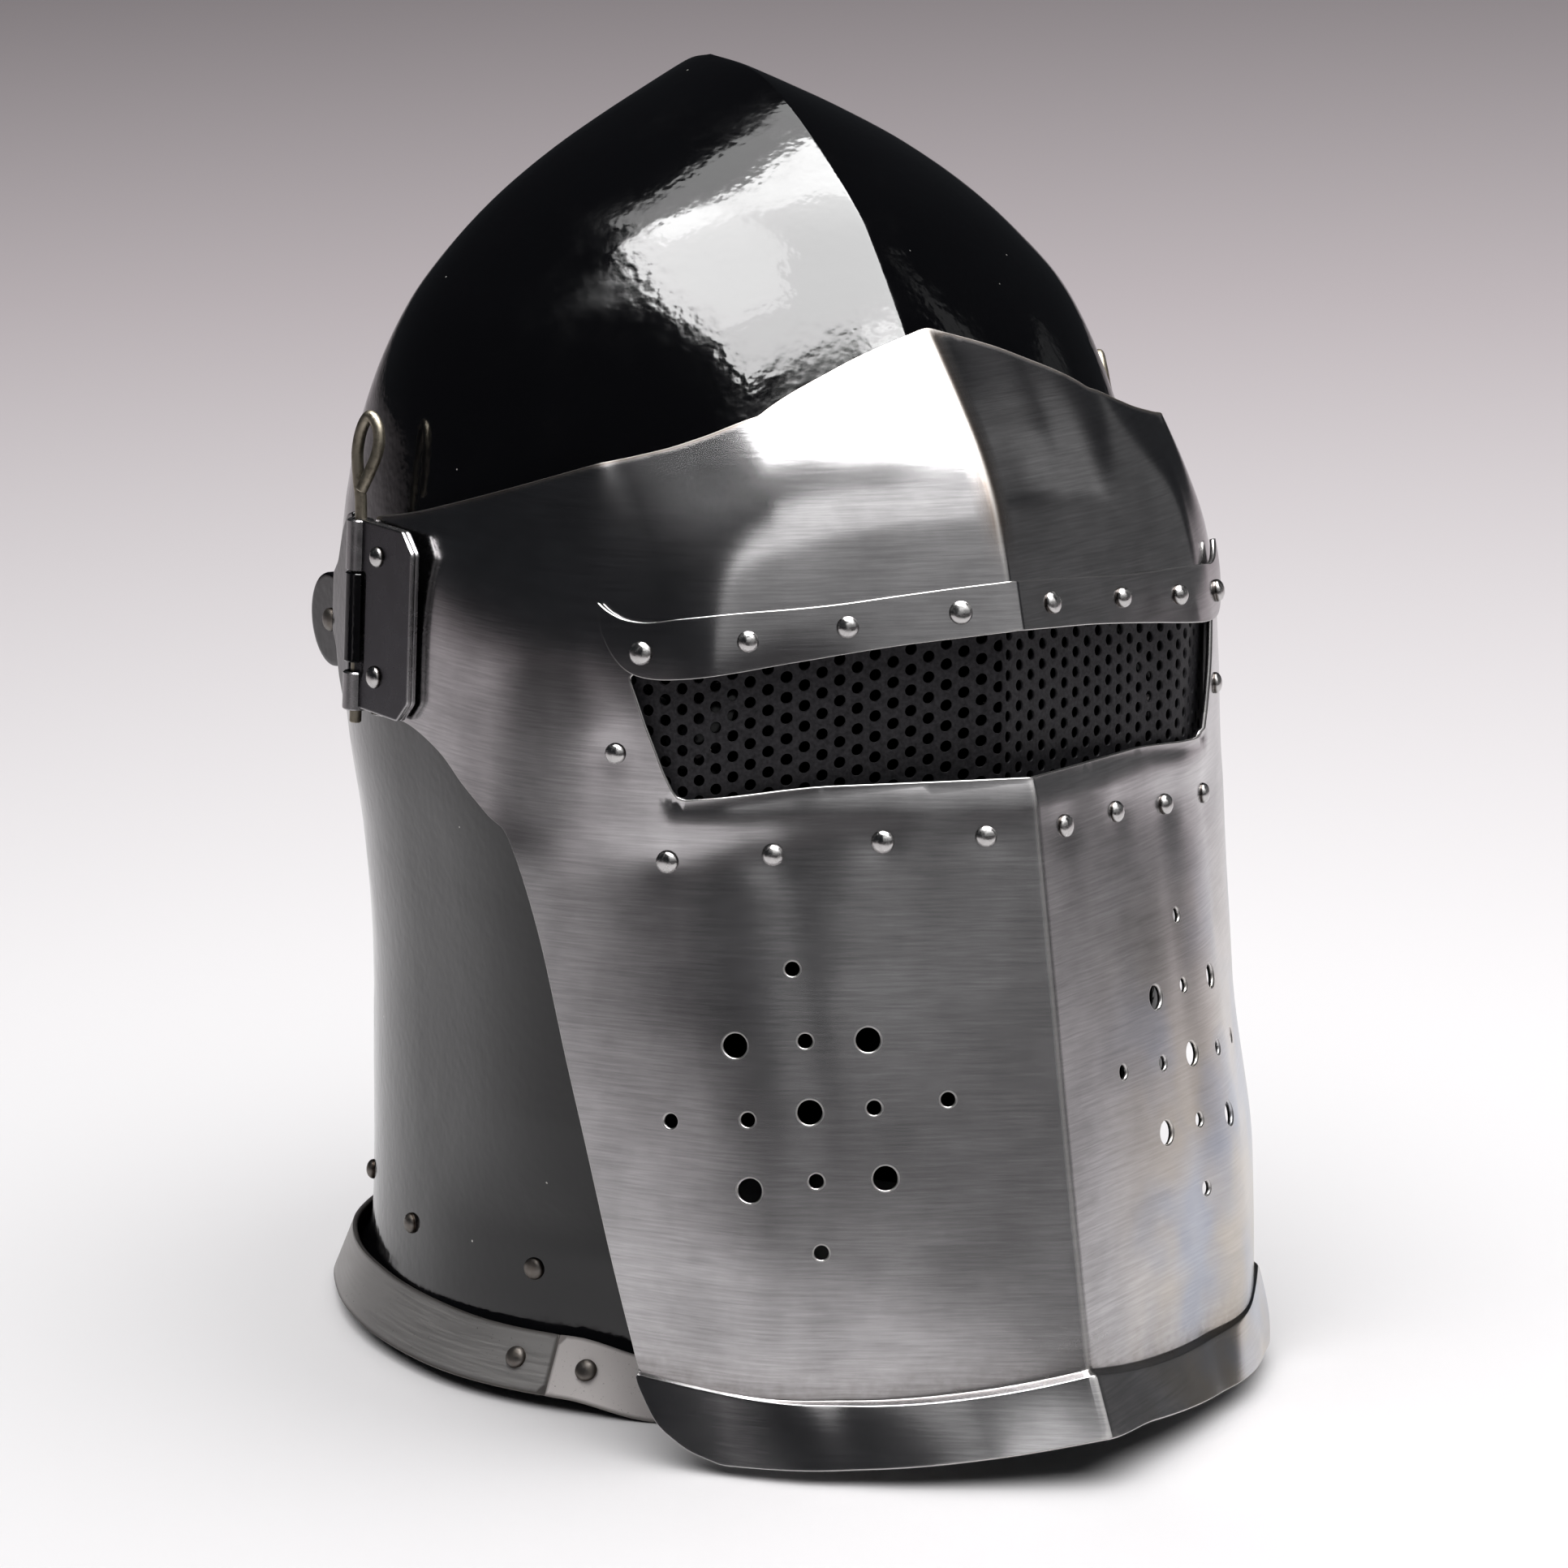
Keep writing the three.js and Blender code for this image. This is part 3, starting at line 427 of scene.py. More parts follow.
# The left cheek stands out further than the right low down
LEFT_FLARE = {"out": 4.4, "stations": (1.5, 4), "heights": (50, 95)}
HAMMER = {"seed": 7, "longest": 70, "height": 0.05}
WORKED_FROM = (0, 20, 0)


def visor_section(row):
    """Visor section at a row number, with the flange's two bends rounded."""
    plain = VISOR.at(row)
    smooth_from = VISOR.straight + BEND_ROUND
    if np.min(row) > smooth_from:
        return plain
    shifts = np.linspace(-1, 1, BEND_SAMPLES) * BEND_ROUND
    near = [VISOR.at(np.minimum(row, smooth_from) + shift) for shift in shifts]
    return {
        name: np.where(row > smooth_from, values, np.mean([each[name] for each in near], axis=0))
        for name, values in plain.items()
    }


def visor_point(station, row):
    """Visor surface at a station across it (0 ridge, 5 and -5 hinges) and a row number."""
    station, row = np.broadcast_arrays(np.asarray(station, float), np.asarray(row, float))
    r = visor_section(row)
    knots = [np.stack([np.full(row.shape, x), r[name]], -1) for name, x in VISOR_KNOTS.items()]
    knots += [np.stack([r[name], np.full(row.shape, y)], -1) for name, y in SIDE_STATIONS.items()]
    knots = np.stack(knots, -2)
    across = np.abs(station)
    x = spline(knots, across)[..., 0]
    soft_x, y = np.moveaxis(spline(knots, rounded_corner(across, RIDGE_ROUND)), -1, 0)
    cheek = r["z_cheek"] - r["z_ridge"]
    side = r["z_side"] - r["z_ridge"]
    bend = (side / SIDE_X - cheek / CHEEK_X) / (SIDE_X - CHEEK_X)
    slope = cheek / CHEEK_X - CHEEK_X * bend
    reach = np.minimum(soft_x, SIDE_REACH)
    z = r["z_ridge"] + slope * reach + bend * reach * reach
    return np.stack([np.sign(station) * x, y, z], -1)


def slot_floor(x):
    """Height of the slot's lower edge."""
    edge = SLOT.rows[::-1][:3]
    return np.interp(np.abs(x), edge[:, 0], edge[:, 1])


def worked_visor(station, row):
    """The visor's surface with its waves, dished rivet seats, slot lip and flared left cheek."""
    points = visor_point(station, row)
    sink = waves(points, **HAMMER)
    for seat in RIVET_SEATS:
        gap = np.linalg.norm(points - seat, axis=-1)
        sink -= RIVET_DISH["deep"] * np.exp(-((gap / RIVET_DISH["wide"]) ** 2))
    below = slot_floor(points[:, 0]) - points[:, 2]
    near = np.clip(1 - np.abs(below) / SLOT_LIP["wide"], 0, 1) ** 2
    near *= (below > -SLOT_LIP["above"]) * (1 - smooth(*SLOT_LIP["ends"], np.abs(points[:, 0])))
    sink -= SLOT_LIP["deep"] * near
    outward = unit(points * (1, 1, 0) - WORKED_FROM)
    points = points + outward * sink[:, None]
    flare = smooth(*LEFT_FLARE["stations"], station)
    flare = flare * (1 - smooth(*LEFT_FLARE["heights"], points[:, 2]))
    points[:, 0] += LEFT_FLARE["out"] * flare
    return points


# Small steps of a surface's two parameters, and how far they keep below the crown
VISOR_STEP = (0.004, 0.004)
SKULL_STEP = (0.05, 0.004)
CROWN_CLEAR = 0.02


def normals_of(surface, u, v, step, last):
    """Outward normals of a surface by small steps of its two parameters."""
    du = surface(u + step[0], v) - surface(u - step[0], v)
    dv = surface(u, np.minimum(v + step[1], last)) - surface(u, np.maximum(v - step[1], 0))
    return unit(np.cross(du, dv))


def visor_normal(station, row):
    return normals_of(visor_point, station, row, VISOR_STEP, VISOR.last)


def skull_normal(angle, row):
    return normals_of(skull_point, angle, row, SKULL_STEP, SKULL.last - CROWN_CLEAR)


# Search for a point of the visor: a first grid, then rounds of small steps that move at most so far
SEARCH = {"stations": 101, "rows": 171, "rounds": 12, "step": 1e-4, "most": 0.3}
# Samples of a curve that is read backwards
FINE = 2001


def locate(targets, axes):
    """Station and row on the left half of the visor of points that are known by two coordinates."""
    targets = np.asarray(targets, float)
    stations = np.linspace(0, HINGE_STATION, SEARCH["stations"])
    rows = np.linspace(0, VISOR.last, SEARCH["rows"])
    grid = np.stack([g.ravel() for g in np.meshgrid(stations, rows)], -1)
    seen = visor_point(*grid.T)[:, axes]
    at = grid[[np.argmin(((seen - target) ** 2).sum(1)) for target in targets]]
    step, most = SEARCH["step"], SEARCH["most"]
    for _ in range(SEARCH["rounds"]):
        here = visor_point(*at.T)[:, axes]
        du = (visor_point(at[:, 0] + step, at[:, 1])[:, axes] - here) / step
        dv = (visor_point(at[:, 0], at[:, 1] + step)[:, axes] - here) / step
        miss = targets - here
        area = np.cross(du, dv)
        move = np.stack([np.cross(miss, dv), np.cross(du, miss)], -1) / area[:, None]
        at = np.clip(at + np.clip(move, -most, most), (0, 0), (HINGE_STATION, VISOR.last))
    return at


def on_visor(spots, height, sign=1):
    """Points and normals above the visor at spots given by x and z, on one side."""
    station, row = locate([[abs(x), z] for x, z in spots], [0, 2]).T
    station = station * sign
    normals = visor_normal(station, row)
    return visor_point(station, row) + normals * height, normals


RIVET_SEATS = np.concatenate([
    on_visor(np.concatenate([CHEEK_RIVETS.rows, SIDE_RIVETS.rows]), 0, sign)[0] for _, sign in SIDES
])


# Meshes
class Parts:
    """Points and faces gathered into one mesh."""

    def __init__(self):
        self.points = []
        self.faces = []

    def add(self, points, faces):
        start = sum(len(p) for p in self.points)
        self.points.append(np.asarray(points, float))
        self.faces += [[start + i for i in face] for face in faces]

    def placed(self, sign=1):
        """All points and faces, mirrored in x where sign is -1."""
        points = np.concatenate(self.points) * (sign, 1, 1)
        return points, [face[::sign] for face in self.faces]


SHARP = math.radians(38)


def piece(name, points, faces, material, body, slot, nodes, normals=None, marks=None):
    """Makes a mesh in millimetres a piece that rides a body and stands for CAD nodes.

    Marks are values on its points that its material reads.
    """
    mesh = bpy.data.meshes.new(name)
    mesh.from_pydata((np.asarray(points) * MM).tolist(), [], faces)
    mesh.shade_smooth()
    if normals is None:
        mesh.set_sharp_from_angle(angle=SHARP)
    else:
        mesh.normals_split_custom_set_from_vertices(normals.tolist())
    for mark, values in (marks or {}).items():
        attribute = mesh.attributes.new(mark, "FLOAT", "POINT")
        attribute.data.foreach_set("value", values.astype(np.float32))
    mesh.materials.append(material)
    made = bpy.data.objects.new(name, mesh)
    bpy.context.scene.collection.objects.link(made)
    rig.ride(made, body)
    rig.slot(made, slot)
    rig.replaces(made, *nodes)


def border_loops(faces):
    """Closed loops of the open edges of a skin, in the direction of its faces."""
    edges = {(a, b) for face in faces for a, b in zip(face, face[1:] + face[:1])}
    follow = {a: b for a, b in edges if (b, a) not in edges}
    loops = []
    while follow:
        start = min(follow)
        loop = [start]
        while follow[loop[-1]] != start:
            loop.append(follow[loop[-1]])
        for i in loop:
            del follow[i]
        loops.append(loop)
    return loops


# Shares of the thickness at which a wall has points, and the furthest that edge_mm counts
WALL_STEPS = (0.12, 0.3, 0.5, 0.7, 0.88)
EDGE_REACH = 25.0


def plate(points, normals, faces, thickness, bulge):
    """A closed plate under a skin: its back, and walls with a small round along every open edge.

    Its points are marked with their distance from an edge and, on the back, as inside.
    """
    count = len(points)
    all_points = [points, points - normals * thickness]
    all_normals = [normals, -normals]
    all_faces = faces + [[count + i for i in reversed(face)] for face in faces]
    rim = KDTree(count)
    start = 2 * count
    for loop in border_loops(faces):
        at = points[loop]
        along = np.roll(at, -1, axis=0) - np.roll(at, 1, axis=0)
        outward = unit(np.cross(along, normals[loop]))
        rings = [loop]
        for share in WALL_STEPS:
            turn = math.pi * share
            swell = outward * bulge * math.sin(turn)
            all_points.append(at - normals[loop] * thickness * share + swell)
            all_normals.append(unit(normals[loop] * math.cos(turn) + outward * math.sin(turn)))
            rings.append(list(range(start, start + len(loop))))
            start += len(loop)
        rings.append([count + i for i in loop])
        for near, far in zip(rings, rings[1:]):
            for k in range(len(loop)):
                after = (k + 1) % len(loop)
                all_faces.append([near[after], near[k], far[k], far[after]])
        for i in loop:
            rim.insert(points[i], i)
    rim.balance()
    gap = np.array([min(rim.find(p)[2], EDGE_REACH) for p in points])
    marks = {"edge_mm": np.zeros(start), "inside": np.zeros(start)}
    marks["edge_mm"][: 2 * count] = np.tile(gap, 2)
    marks["inside"][count : 2 * count] = 1
    return np.concatenate(all_points), all_faces, np.concatenate(all_normals), marks


def inside(points, loop):
    """Which flat points lie inside a closed loop."""
    x, y = points.T
    odd = np.zeros(len(points), bool)
    for (ax, ay), (bx, by) in zip(loop, np.roll(loop, -1, axis=0)):
        if ay != by:
            crosses = (ay > y) != (by > y)
            odd ^= crosses & (x < (bx - ax) * (y - ay) / (by - ay) + ax)
    return odd


SAME_POINT = 1e-5


def triangulated(loops, fill, scale):
    """Flat points and triangles between closed loops, the first outermost, with fill points."""
    flat = np.concatenate([*loops, fill]) * scale
    edges = []
    start = 0
    for loop in loops:
        count = len(loop)
        edges += [(start + i, start + (i + 1) % count) for i in range(count)]
        start += count
    found = delaunay_2d_cdt([Vector(p) for p in flat], edges, [], 0, SAME_POINT)
    corners = np.array([tuple(v) for v in found[0]])
    faces = np.array([list(face) for face in found[2]])
    middle = corners[faces].mean(axis=1)
    kept = inside(middle, loops[0] * scale)
    for loop in loops[1:]:
        kept &= ~inside(middle, loop * scale)
    faces = faces[kept]
    used = np.unique(faces)
    renumber = np.zeros(len(corners), int)
    renumber[used] = np.arange(len(used))
    return corners[used] / scale, renumber[faces].tolist()


def resampled(loop, surface, step):
    """A closed loop of surface parameters with its points a given distance apart on the surface."""
    closed = np.concatenate([loop, loop[:1]])
    at = surface(*closed.T)
    run = np.concatenate([[0], np.cumsum(np.linalg.norm(np.diff(at, axis=0), axis=1))])
    places = np.linspace(0, run[-1], int(run[-1] / step) + 1)[:-1]
    return np.stack([np.interp(places, run, closed[:, k]) for k in range(2)], -1)


def clear_of(points, loops, surface, gap):
    """Fill points that keep a gap on the surface from every loop."""
    rim = KDTree(sum(len(loop) for loop in loops))
    for place in np.concatenate([surface(*loop.T) for loop in loops]):
        rim.insert(place, 0)
    rim.balance()
    far = [rim.find(place)[2] > gap for place in surface(*points.T)]
    return points[far]


def grid_faces(rows, columns):
    """Quads of a grid whose points are listed row by row."""
    return [
        [r * columns + c, r * columns + c + 1, (r + 1) * columns + c + 1, (r + 1) * columns + c]
        for r in range(rows - 1) for c in range(columns - 1)
    ]


def ring_faces(rings, count, closed=False):
    """Quads between rings of points that are listed ring by ring; closed joins last to first."""
    faces = []
    for k in range(rings if closed else rings - 1):
        after = (k + 1) % rings
        for i in range(count):
            j = (i + 1) % count
            faces.append([k * count + i, k * count + j, after * count + j, after * count + i])
    return faces


def capped_faces(rings, count):
    """Quads between rings of points, and a face over each end."""
    ends = [list(range(count))[::-1], [(rings - 1) * count + i for i in range(count)]]
    return ring_faces(rings, count) + ends


def lathe(profile, segments):
    """A solid turned about z from (radius, height) points, which end on the axis or form a ring."""
    turned = [p for p in profile if p[0] > 0]
    angles = np.arange(segments) * 2 * math.pi / segments
    points = [(r * math.cos(a), r * math.sin(a), h) for r, h in turned for a in angles]
    rings = len(turned)
    on_axis = profile[0][0] == 0
    faces = ring_faces(rings, segments, closed=not on_axis)
    if on_axis:
        points += [(0, 0, profile[0][1]), (0, 0, profile[-1][1])]
        low, high = len(points) - 2, len(points) - 1
        top = (rings - 1) * segments
        for i in range(segments):
            j = (i + 1) % segments
            faces.append([low, j, i])
            faces.append([high, top + i, top + j])
    return np.array(points, float), faces


def circle(count):
    """Flat points round a circle of radius 1."""
    turns = np.arange(count) * 2 * math.pi / count
    return np.stack([np.cos(turns), np.sin(turns)], -1)


def divided(outline, count):
    """A closed outline with each of its sides cut into a number of equal steps."""
    sides = zip(outline, np.roll(outline, -1, 0))
    return np.concatenate([np.linspace(a, b, count + 1)[:-1] for a, b in sides])


# The most of a side that a rounded corner takes, and the least that a corner's inset is divided by
CORNER_MOST = 0.45
MITRE_LEAST = 0.3


def filleted(outline, radius, steps=4):
    """A closed flat outline with its corners rounded."""
    corners = np.array(outline, float)
    rounded = []
    for before, here, after in zip(np.roll(corners, 1, 0), corners, np.roll(corners, -1, 0)):
        arms = [before - here, after - here]
        run = min(radius, *(CORNER_MOST * np.linalg.norm(arm) for arm in arms))
        start, end = (here + unit(arm) * run for arm in arms)
        for t in np.linspace(0, 1, steps):
            rounded.append((1 - t) ** 2 * start + 2 * t * (1 - t) * here + t * t * end)
    return np.array(rounded)


def inset(outline, gap):
    """A closed anticlockwise outline moved inwards."""
    ahead = unit(np.roll(outline, -1, 0) - outline)
    inward = np.stack([-ahead[:, 1], ahead[:, 0]], -1)
    before = np.roll(inward, 1, 0)
    share = 1 + (inward * before).sum(1, keepdims=True)
    return outline + (inward + before) / np.maximum(share, MITRE_LEAST) * gap


# How far a slab's rings lie in from its outline and up from its lower face, in edge radii
SLAB_INSETS = [2.4, 1, 0.3, 0]
SLAB_RISES = [0, 0, 0.3, 1]


def slab(outline, low, high, radius):
    """A flat plate with rounded edges from an anticlockwise outline, its height along z."""
    count = len(outline)
    levels = list(zip(SLAB_INSETS, SLAB_RISES))
    rings = [(gap * radius, low + rise * radius) for gap, rise in levels]
    rings += [(gap * radius, high - rise * radius) for gap, rise in reversed(levels)]
    points = [np.column_stack([inset(outline, gap), np.full(count, z)]) for gap, z in rings]
    return np.concatenate(points), capped_faces(len(rings), count)


# A cut wire end: its radius and how far it stands out, in wire radii
WIRE_END = {"wide": 0.8, "out": 0.2}
# A direction that no wire sets out along
ASIDE = (1.0, 0.3, 0.1)


def sweep(path, radius, segments):
    """A round wire along a path of points, with cut ends."""
    tangents = unit(np.gradient(path, axis=0))
    side = unit(np.cross(tangents[0], ASIDE))
    angles = np.arange(segments) * 2 * math.pi / segments
    last = len(path) - 1
    rings = [(0, WIRE_END["wide"]), *((i, 1) for i in range(len(path))), (last, WIRE_END["wide"])]
    points = []
    for i, share in rings:
        side = unit(side - tangents[i] * (side @ tangents[i]))
        other = np.cross(tangents[i], side)
        ring = np.cos(angles)[:, None] * side + np.sin(angles)[:, None] * other
        out = tangents[i] * radius * (WIRE_END["out"] if share < 1 else 0)
        points.append(path[i] + ring * radius * share + (out if i else -out))
    return np.concatenate(points), capped_faces(len(rings), segments)


def standing(points, place, direction):
    """Points whose z axis is stood along a direction at a place."""
    turn = np.array(Vector((0, 0, 1)).rotation_difference(Vector(direction)).to_matrix())
    return points @ turn.T + place


def moved(points, matrix):
    m = np.array(matrix)
    return points @ m[:3, :3].T + m[:3, 3]


# Materials
COLOUR_MIX = {"out": "Result", "data_type": "RGBA"}


def add_node(tree, kind, inputs=None, out=0, **settings):
    """Adds a node with its settings and inputs, each a value or a feeding output.

    Gives the output that is named or numbered by `out`.
    """
    node = tree.nodes.new("ShaderNode" + kind)
    for name, value in settings.items():
        setattr(node, name, value)
    for name, value in (inputs or {}).items():
        socket = node.inputs[name]
        if isinstance(value, bpy.types.NodeSocket):
            tree.links.new(value, socket)
        else:
            socket.default_value = value
    return node.outputs[out] if len(node.outputs) else None


def new_material(name):
    """An empty material, its node tree, and the place on the surface in millimetres."""
    made = bpy.data.materials.new(name)
    made.use_nodes = True
    tree = made.node_tree
    tree.nodes.clear()
    place = add_node(tree, "TexCoord", out="Object")
    return made, tree, add_node(tree, "VectorMath", {0: place, "Scale": 1 / MM}, operation="SCALE")


def colour_of(name):
    """A finish colour as red, green, blue and alpha."""
    return (*getattr(bpy.context.scene.barbute_finish, name), 1.0)


def opaque(code):
    """An sRGB hex colour as linear red, green, blue and alpha."""
    return (*linear(code), 1.0)


def surfaced(made, tree, inputs):
    """Closes a material with its surface shader."""
    shader = add_node(tree, "BsdfPrincipled", inputs)
    add_node(tree, "OutputMaterial", {"Surface": shader})
    return made


def gloss_black_enamel():
    """Sprayed gloss black enamel on steel, cured without polishing."""
    # The eye sees sharp reflections with a wavy orange-peel edge, a few dust nibs and dull rubs.
    made, tree, place = new_material("gloss_black_enamel")
    peel = add_node(
        tree, "TexNoise", {"Vector": place, "Scale": 1 / 2.6, "Detail": 1.5, "Roughness": 0.4},
    )
    swell = add_node(tree, "TexNoise", {"Vector": place, "Scale": 1 / 14, "Detail": 1.0})
    height = add_node(tree, "Math", {0: swell, 1: 2.0, 2: peel}, operation="MULTIPLY_ADD")
    bump = add_node(tree, "Bump", {"Height": height, "Strength": 1.0, "Distance": 0.06 * MM})
    nib = add_node(
        tree, "TexVoronoi", {"Vector": place, "Scale": 1 / 11, "Randomness": 1.0}, out="Distance",
    )
    nib = add_node(
        tree, "MapRange",
        {"Value": nib, "From Min": 0.022, "From Max": 0.03, "To Min": 1.0, "To Max": 0.0},
    )
    rub = add_node(
        tree, "TexNoise", {"Vector": place, "Scale": 1 / 22, "Detail": 5.0, "Roughness": 0.65},
    )
    rough = add_node(
        tree, "MapRange",
        {"Value": rub, "From Min": 0.45, "From Max": 0.75, "To Min": 0.07, "To Max": 0.2},
    )
    tint = add_node(
        tree, "Mix", {"Factor": nib, "A": colour_of("enamel"), "B": opaque("#b9b7b2")},
        **COLOUR_MIX,
    )
    inside = add_node(tree, "Attribute", out="Fac", attribute_name="inside")
    shine = add_node(tree, "MapRange", {"Value": inside, "To Min": 0.5, "To Max": 0.05})
    rough = add_node(tree, "Math", {0: inside, 1: 0.6, 2: rough}, operation="MULTIPLY_ADD")
    return surfaced(made, tree, {
        "Base Color": tint, "Roughness": rough, "Specular IOR Level": shine, "Normal": bump,
    })


def satin_brushed_steel():
    """Mild steel sheet, formed by hand and brushed with coarse grit along the band of the visor."""
    # The eye sees highlights drawn out across the brush lines, soft cloudy patches, bright edges and a
    # bright line along the ridge that are painted highlights, brown dirt in the flange's bend and a straw
    # and blue heat tint low on the left cheek. The back is coloured black and is not metal.
    made, tree, place = new_material("satin_brushed_steel")
    # The grit leaves lines of about 0.1 mm; they are drawn 0.6 mm wide so that they show.
    along = add_node(
        tree, "VectorMath", {0: place, 1: (1 / 16, 1 / 16, 1 / 0.6)}, operation="MULTIPLY",
    )
    brush = add_node(
        tree, "TexNoise", {"Vector": along, "Scale": 1.0, "Detail": 3.0, "Roughness": 0.65},
    )
    # Faint scratches of about 6 mm that lean a little from the brush lines, drawn 0.3 mm wide
    leaning = add_node(
        tree, "VectorRotate", {"Vector": place, "Angle": -0.12}, rotation_type="Y_AXIS",
    )
    leaning = add_node(
        tree, "VectorMath", {0: leaning, 1: (1 / 6, 1 / 6, 1 / 0.3)}, operation="MULTIPLY",
    )
    scratch = add_node(tree, "TexNoise", {"Vector": leaning, "Scale": 1.0, "Detail": 1.0})
    scratch = add_node(
        tree, "MapRange", {"Value": scratch, "From Min": 0.62, "From Max": 0.8, "To Max": 0.07},
    )
    cloud = add_node(
        tree, "TexNoise", {"Vector": place, "Scale": 1 / 17, "Detail": 5.0, "Roughness": 0.55},
    )
    x, z = (add_node(tree, "SeparateXYZ", {0: place}, out=axis) for axis in ("X", "Z"))
    edge = add_node(tree, "Attribute", out="Fac", attribute_name="edge_mm")
    patch = add_node(
        tree, "MapRange",
        {"Value": cloud, "From Min": 0.35, "From Max": 0.65, "To Min": 0.84, "To Max": 1.06},
    )
    lines = add_node(
        tree, "MapRange",
        {"Value": brush, "From Min": 0.3, "From Max": 0.7, "To Min": 0.78, "To Max": 1.08},
    )
    shade = add_node(tree, "Math", {0: patch, 1: lines}, operation="MULTIPLY")
    steel = add_node(
        tree, "VectorMath", {0: colour_of("steel")[:3], "Scale": shade}, operation="SCALE",
    )
    # Heat tint: straw with blue islands in front of the left cheek
    cheek = add_node(tree, "MapRange", {"Value": x, "From Min": 12, "From Max": 45, "To Max": 0.45})
    low = add_node(
        tree, "MapRange",
        {"Value": z, "From Min": 70, "From Max": 140, "To Min": 1.0, "To Max": 0.0},
    )
    heat = add_node(tree, "Math", {0: cheek, 1: low}, operation="MULTIPLY")
    island = add_node(tree, "TexNoise", {"Vector": place, "Scale": 1 / 30, "Detail": 2.0})
    island = add_node(tree, "MapRange", {"Value": island, "From Min": 0.42, "From Max": 0.62})
    tint = add_node(
        tree, "Mix", {"Factor": island, "A": opaque("#d0c4b1"), "B": opaque("#a9b3c6")},
        **COLOUR_MIX,
    )
    heated = add_node(tree, "Mix", {"Factor": heat, "A": steel, "B": tint}, **COLOUR_MIX)
    # Brown along the brow's upper edge, dirt in the bend
    brow = add_node(tree, "MapRange", {"Value": z, "From Min": 212, "From Max": 224})
    bloom = add_node(
        tree, "MapRange",
        {"Value": edge, "From Min": 0.3, "From Max": 1.6, "To Min": 0.75, "To Max": 0.0},
    )
    bloom = add_node(tree, "Math", {0: bloom, 1: brow}, operation="MULTIPLY")
    grit = add_node(
        tree, "TexNoise", {"Vector": place, "Scale": 1 / 2.5, "Detail": 4.0, "Roughness": 0.65},
    )
    grit = add_node(
        tree, "MapRange",
        {"Value": grit, "From Min": 0.3, "From Max": 0.7, "To Min": 0.2, "To Max": 0.42},
    )
    dirt = add_node(tree, "Attribute", out="Fac", attribute_name="dirt")
    dirt = add_node(tree, "Math", {0: dirt, 1: grit}, operation="MULTIPLY")
    dirt = add_node(tree, "Math", {0: dirt, 1: bloom}, operation="MAXIMUM")
    soiled = add_node(
        tree, "Mix", {"Factor": dirt, "A": heated, "B": opaque("#4d3d2c")}, **COLOUR_MIX,
    )
    # Painted highlight on the edges and along the ridge, with faint real scratches
    sheen_and_rub = add_node(
        tree, "MapRange",
        {"Value": edge, "From Min": 0.0, "From Max": 0.3, "To Min": 0.35, "To Max": 0.0},
    )
    sheen_and_rub = add_node(tree, "Math", {0: sheen_and_rub, 1: scratch}, operation="MAXIMUM")
    edged = add_node(
        tree, "Mix", {"Factor": sheen_and_rub, "A": soiled, "B": opaque("#d9d6d2")}, **COLOUR_MIX,
    )
    # The back takes the sight plate's black and is not metal, so it stays dark
    inside = add_node(tree, "Attribute", out="Fac", attribute_name="inside")
    dark_backed = add_node(
        tree, "Mix", {"Factor": inside, "A": edged, "B": colour_of("sight")}, **COLOUR_MIX,
    )
    # The cheeks are brushed more coarsely than the brow, the wings and the flange
    above = add_node(
        tree, "MapRange",
        {"Value": z, "From Min": 26, "From Max": 32, "To Min": 0.18, "To Max": 0.25},
    )
    below = add_node(
        tree, "MapRange",
        {"Value": z, "From Min": 130, "From Max": 200, "To Min": 0.25, "To Max": 0.16},
    )
    rough = add_node(tree, "Math", {0: above, 1: below}, operation="MINIMUM")
    rough = add_node(tree, "Math", {0: sheen_and_rub, 1: 0.2, 2: rough}, operation="MULTIPLY_ADD")
    rough = add_node(tree, "Math", {0: dirt, 1: 0.25, 2: rough}, operation="MULTIPLY_ADD")
    rough = add_node(tree, "Math", {0: inside, 1: 0.3, 2: rough}, operation="MULTIPLY_ADD")
    metal = add_node(tree, "Math", {0: 1.0, 1: inside}, operation="SUBTRACT")
    bump = add_node(tree, "Bump", {"Height": brush, "Strength": 1.0, "Distance": 0.006 * MM})
    return surfaced(made, tree, {
        "Base Color": dark_backed, "Metallic": metal, "Roughness": rough, "Normal": bump,
        "Anisotropic": 0.5, "Anisotropic Rotation": 0.25,
        "Tangent": add_node(tree, "Tangent", direction_type="RADIAL", axis="Z"),
    })


def polished_rivet_steel():
    """Peened steel rivets, polished with the visor."""
    # The eye sees small bright domes with sharp glints, and dirt caught round the foot of each.
    made, tree, place = new_material("polished_rivet_steel")
    wear_and_sheen = add_node(tree, "TexNoise", {"Vector": place, "Scale": 1 / 1.3, "Detail": 3.0})
    rough = add_node(
        tree, "MapRange",
        {"Value": wear_and_sheen, "From Min": 0.35, "From Max": 0.7, "To Min": 0.16, "To Max": 0.34},
    )
    foot = add_node(tree, "Attribute", out="Fac", attribute_name="edge_mm")
    dirt = add_node(
        tree, "MapRange",
        {"Value": foot, "From Min": 0.15, "From Max": 0.6, "To Min": 0.9, "To Max": 0.0},
    )
    tint = add_node(
        tree, "Mix", {"Factor": dirt, "A": colour_of("rivet"), "B": colour_of("grime")},
        **COLOUR_MIX,
    )
    bump = add_node(tree, "Bump", {"Height": wear_and_sheen, "Strength": 1.0, "Distance": 0.02 * MM})
    return surfaced(made, tree, {
        "Base Color": tint, "Metallic": 1.0, "Roughness": rough, "Normal": bump,
    })


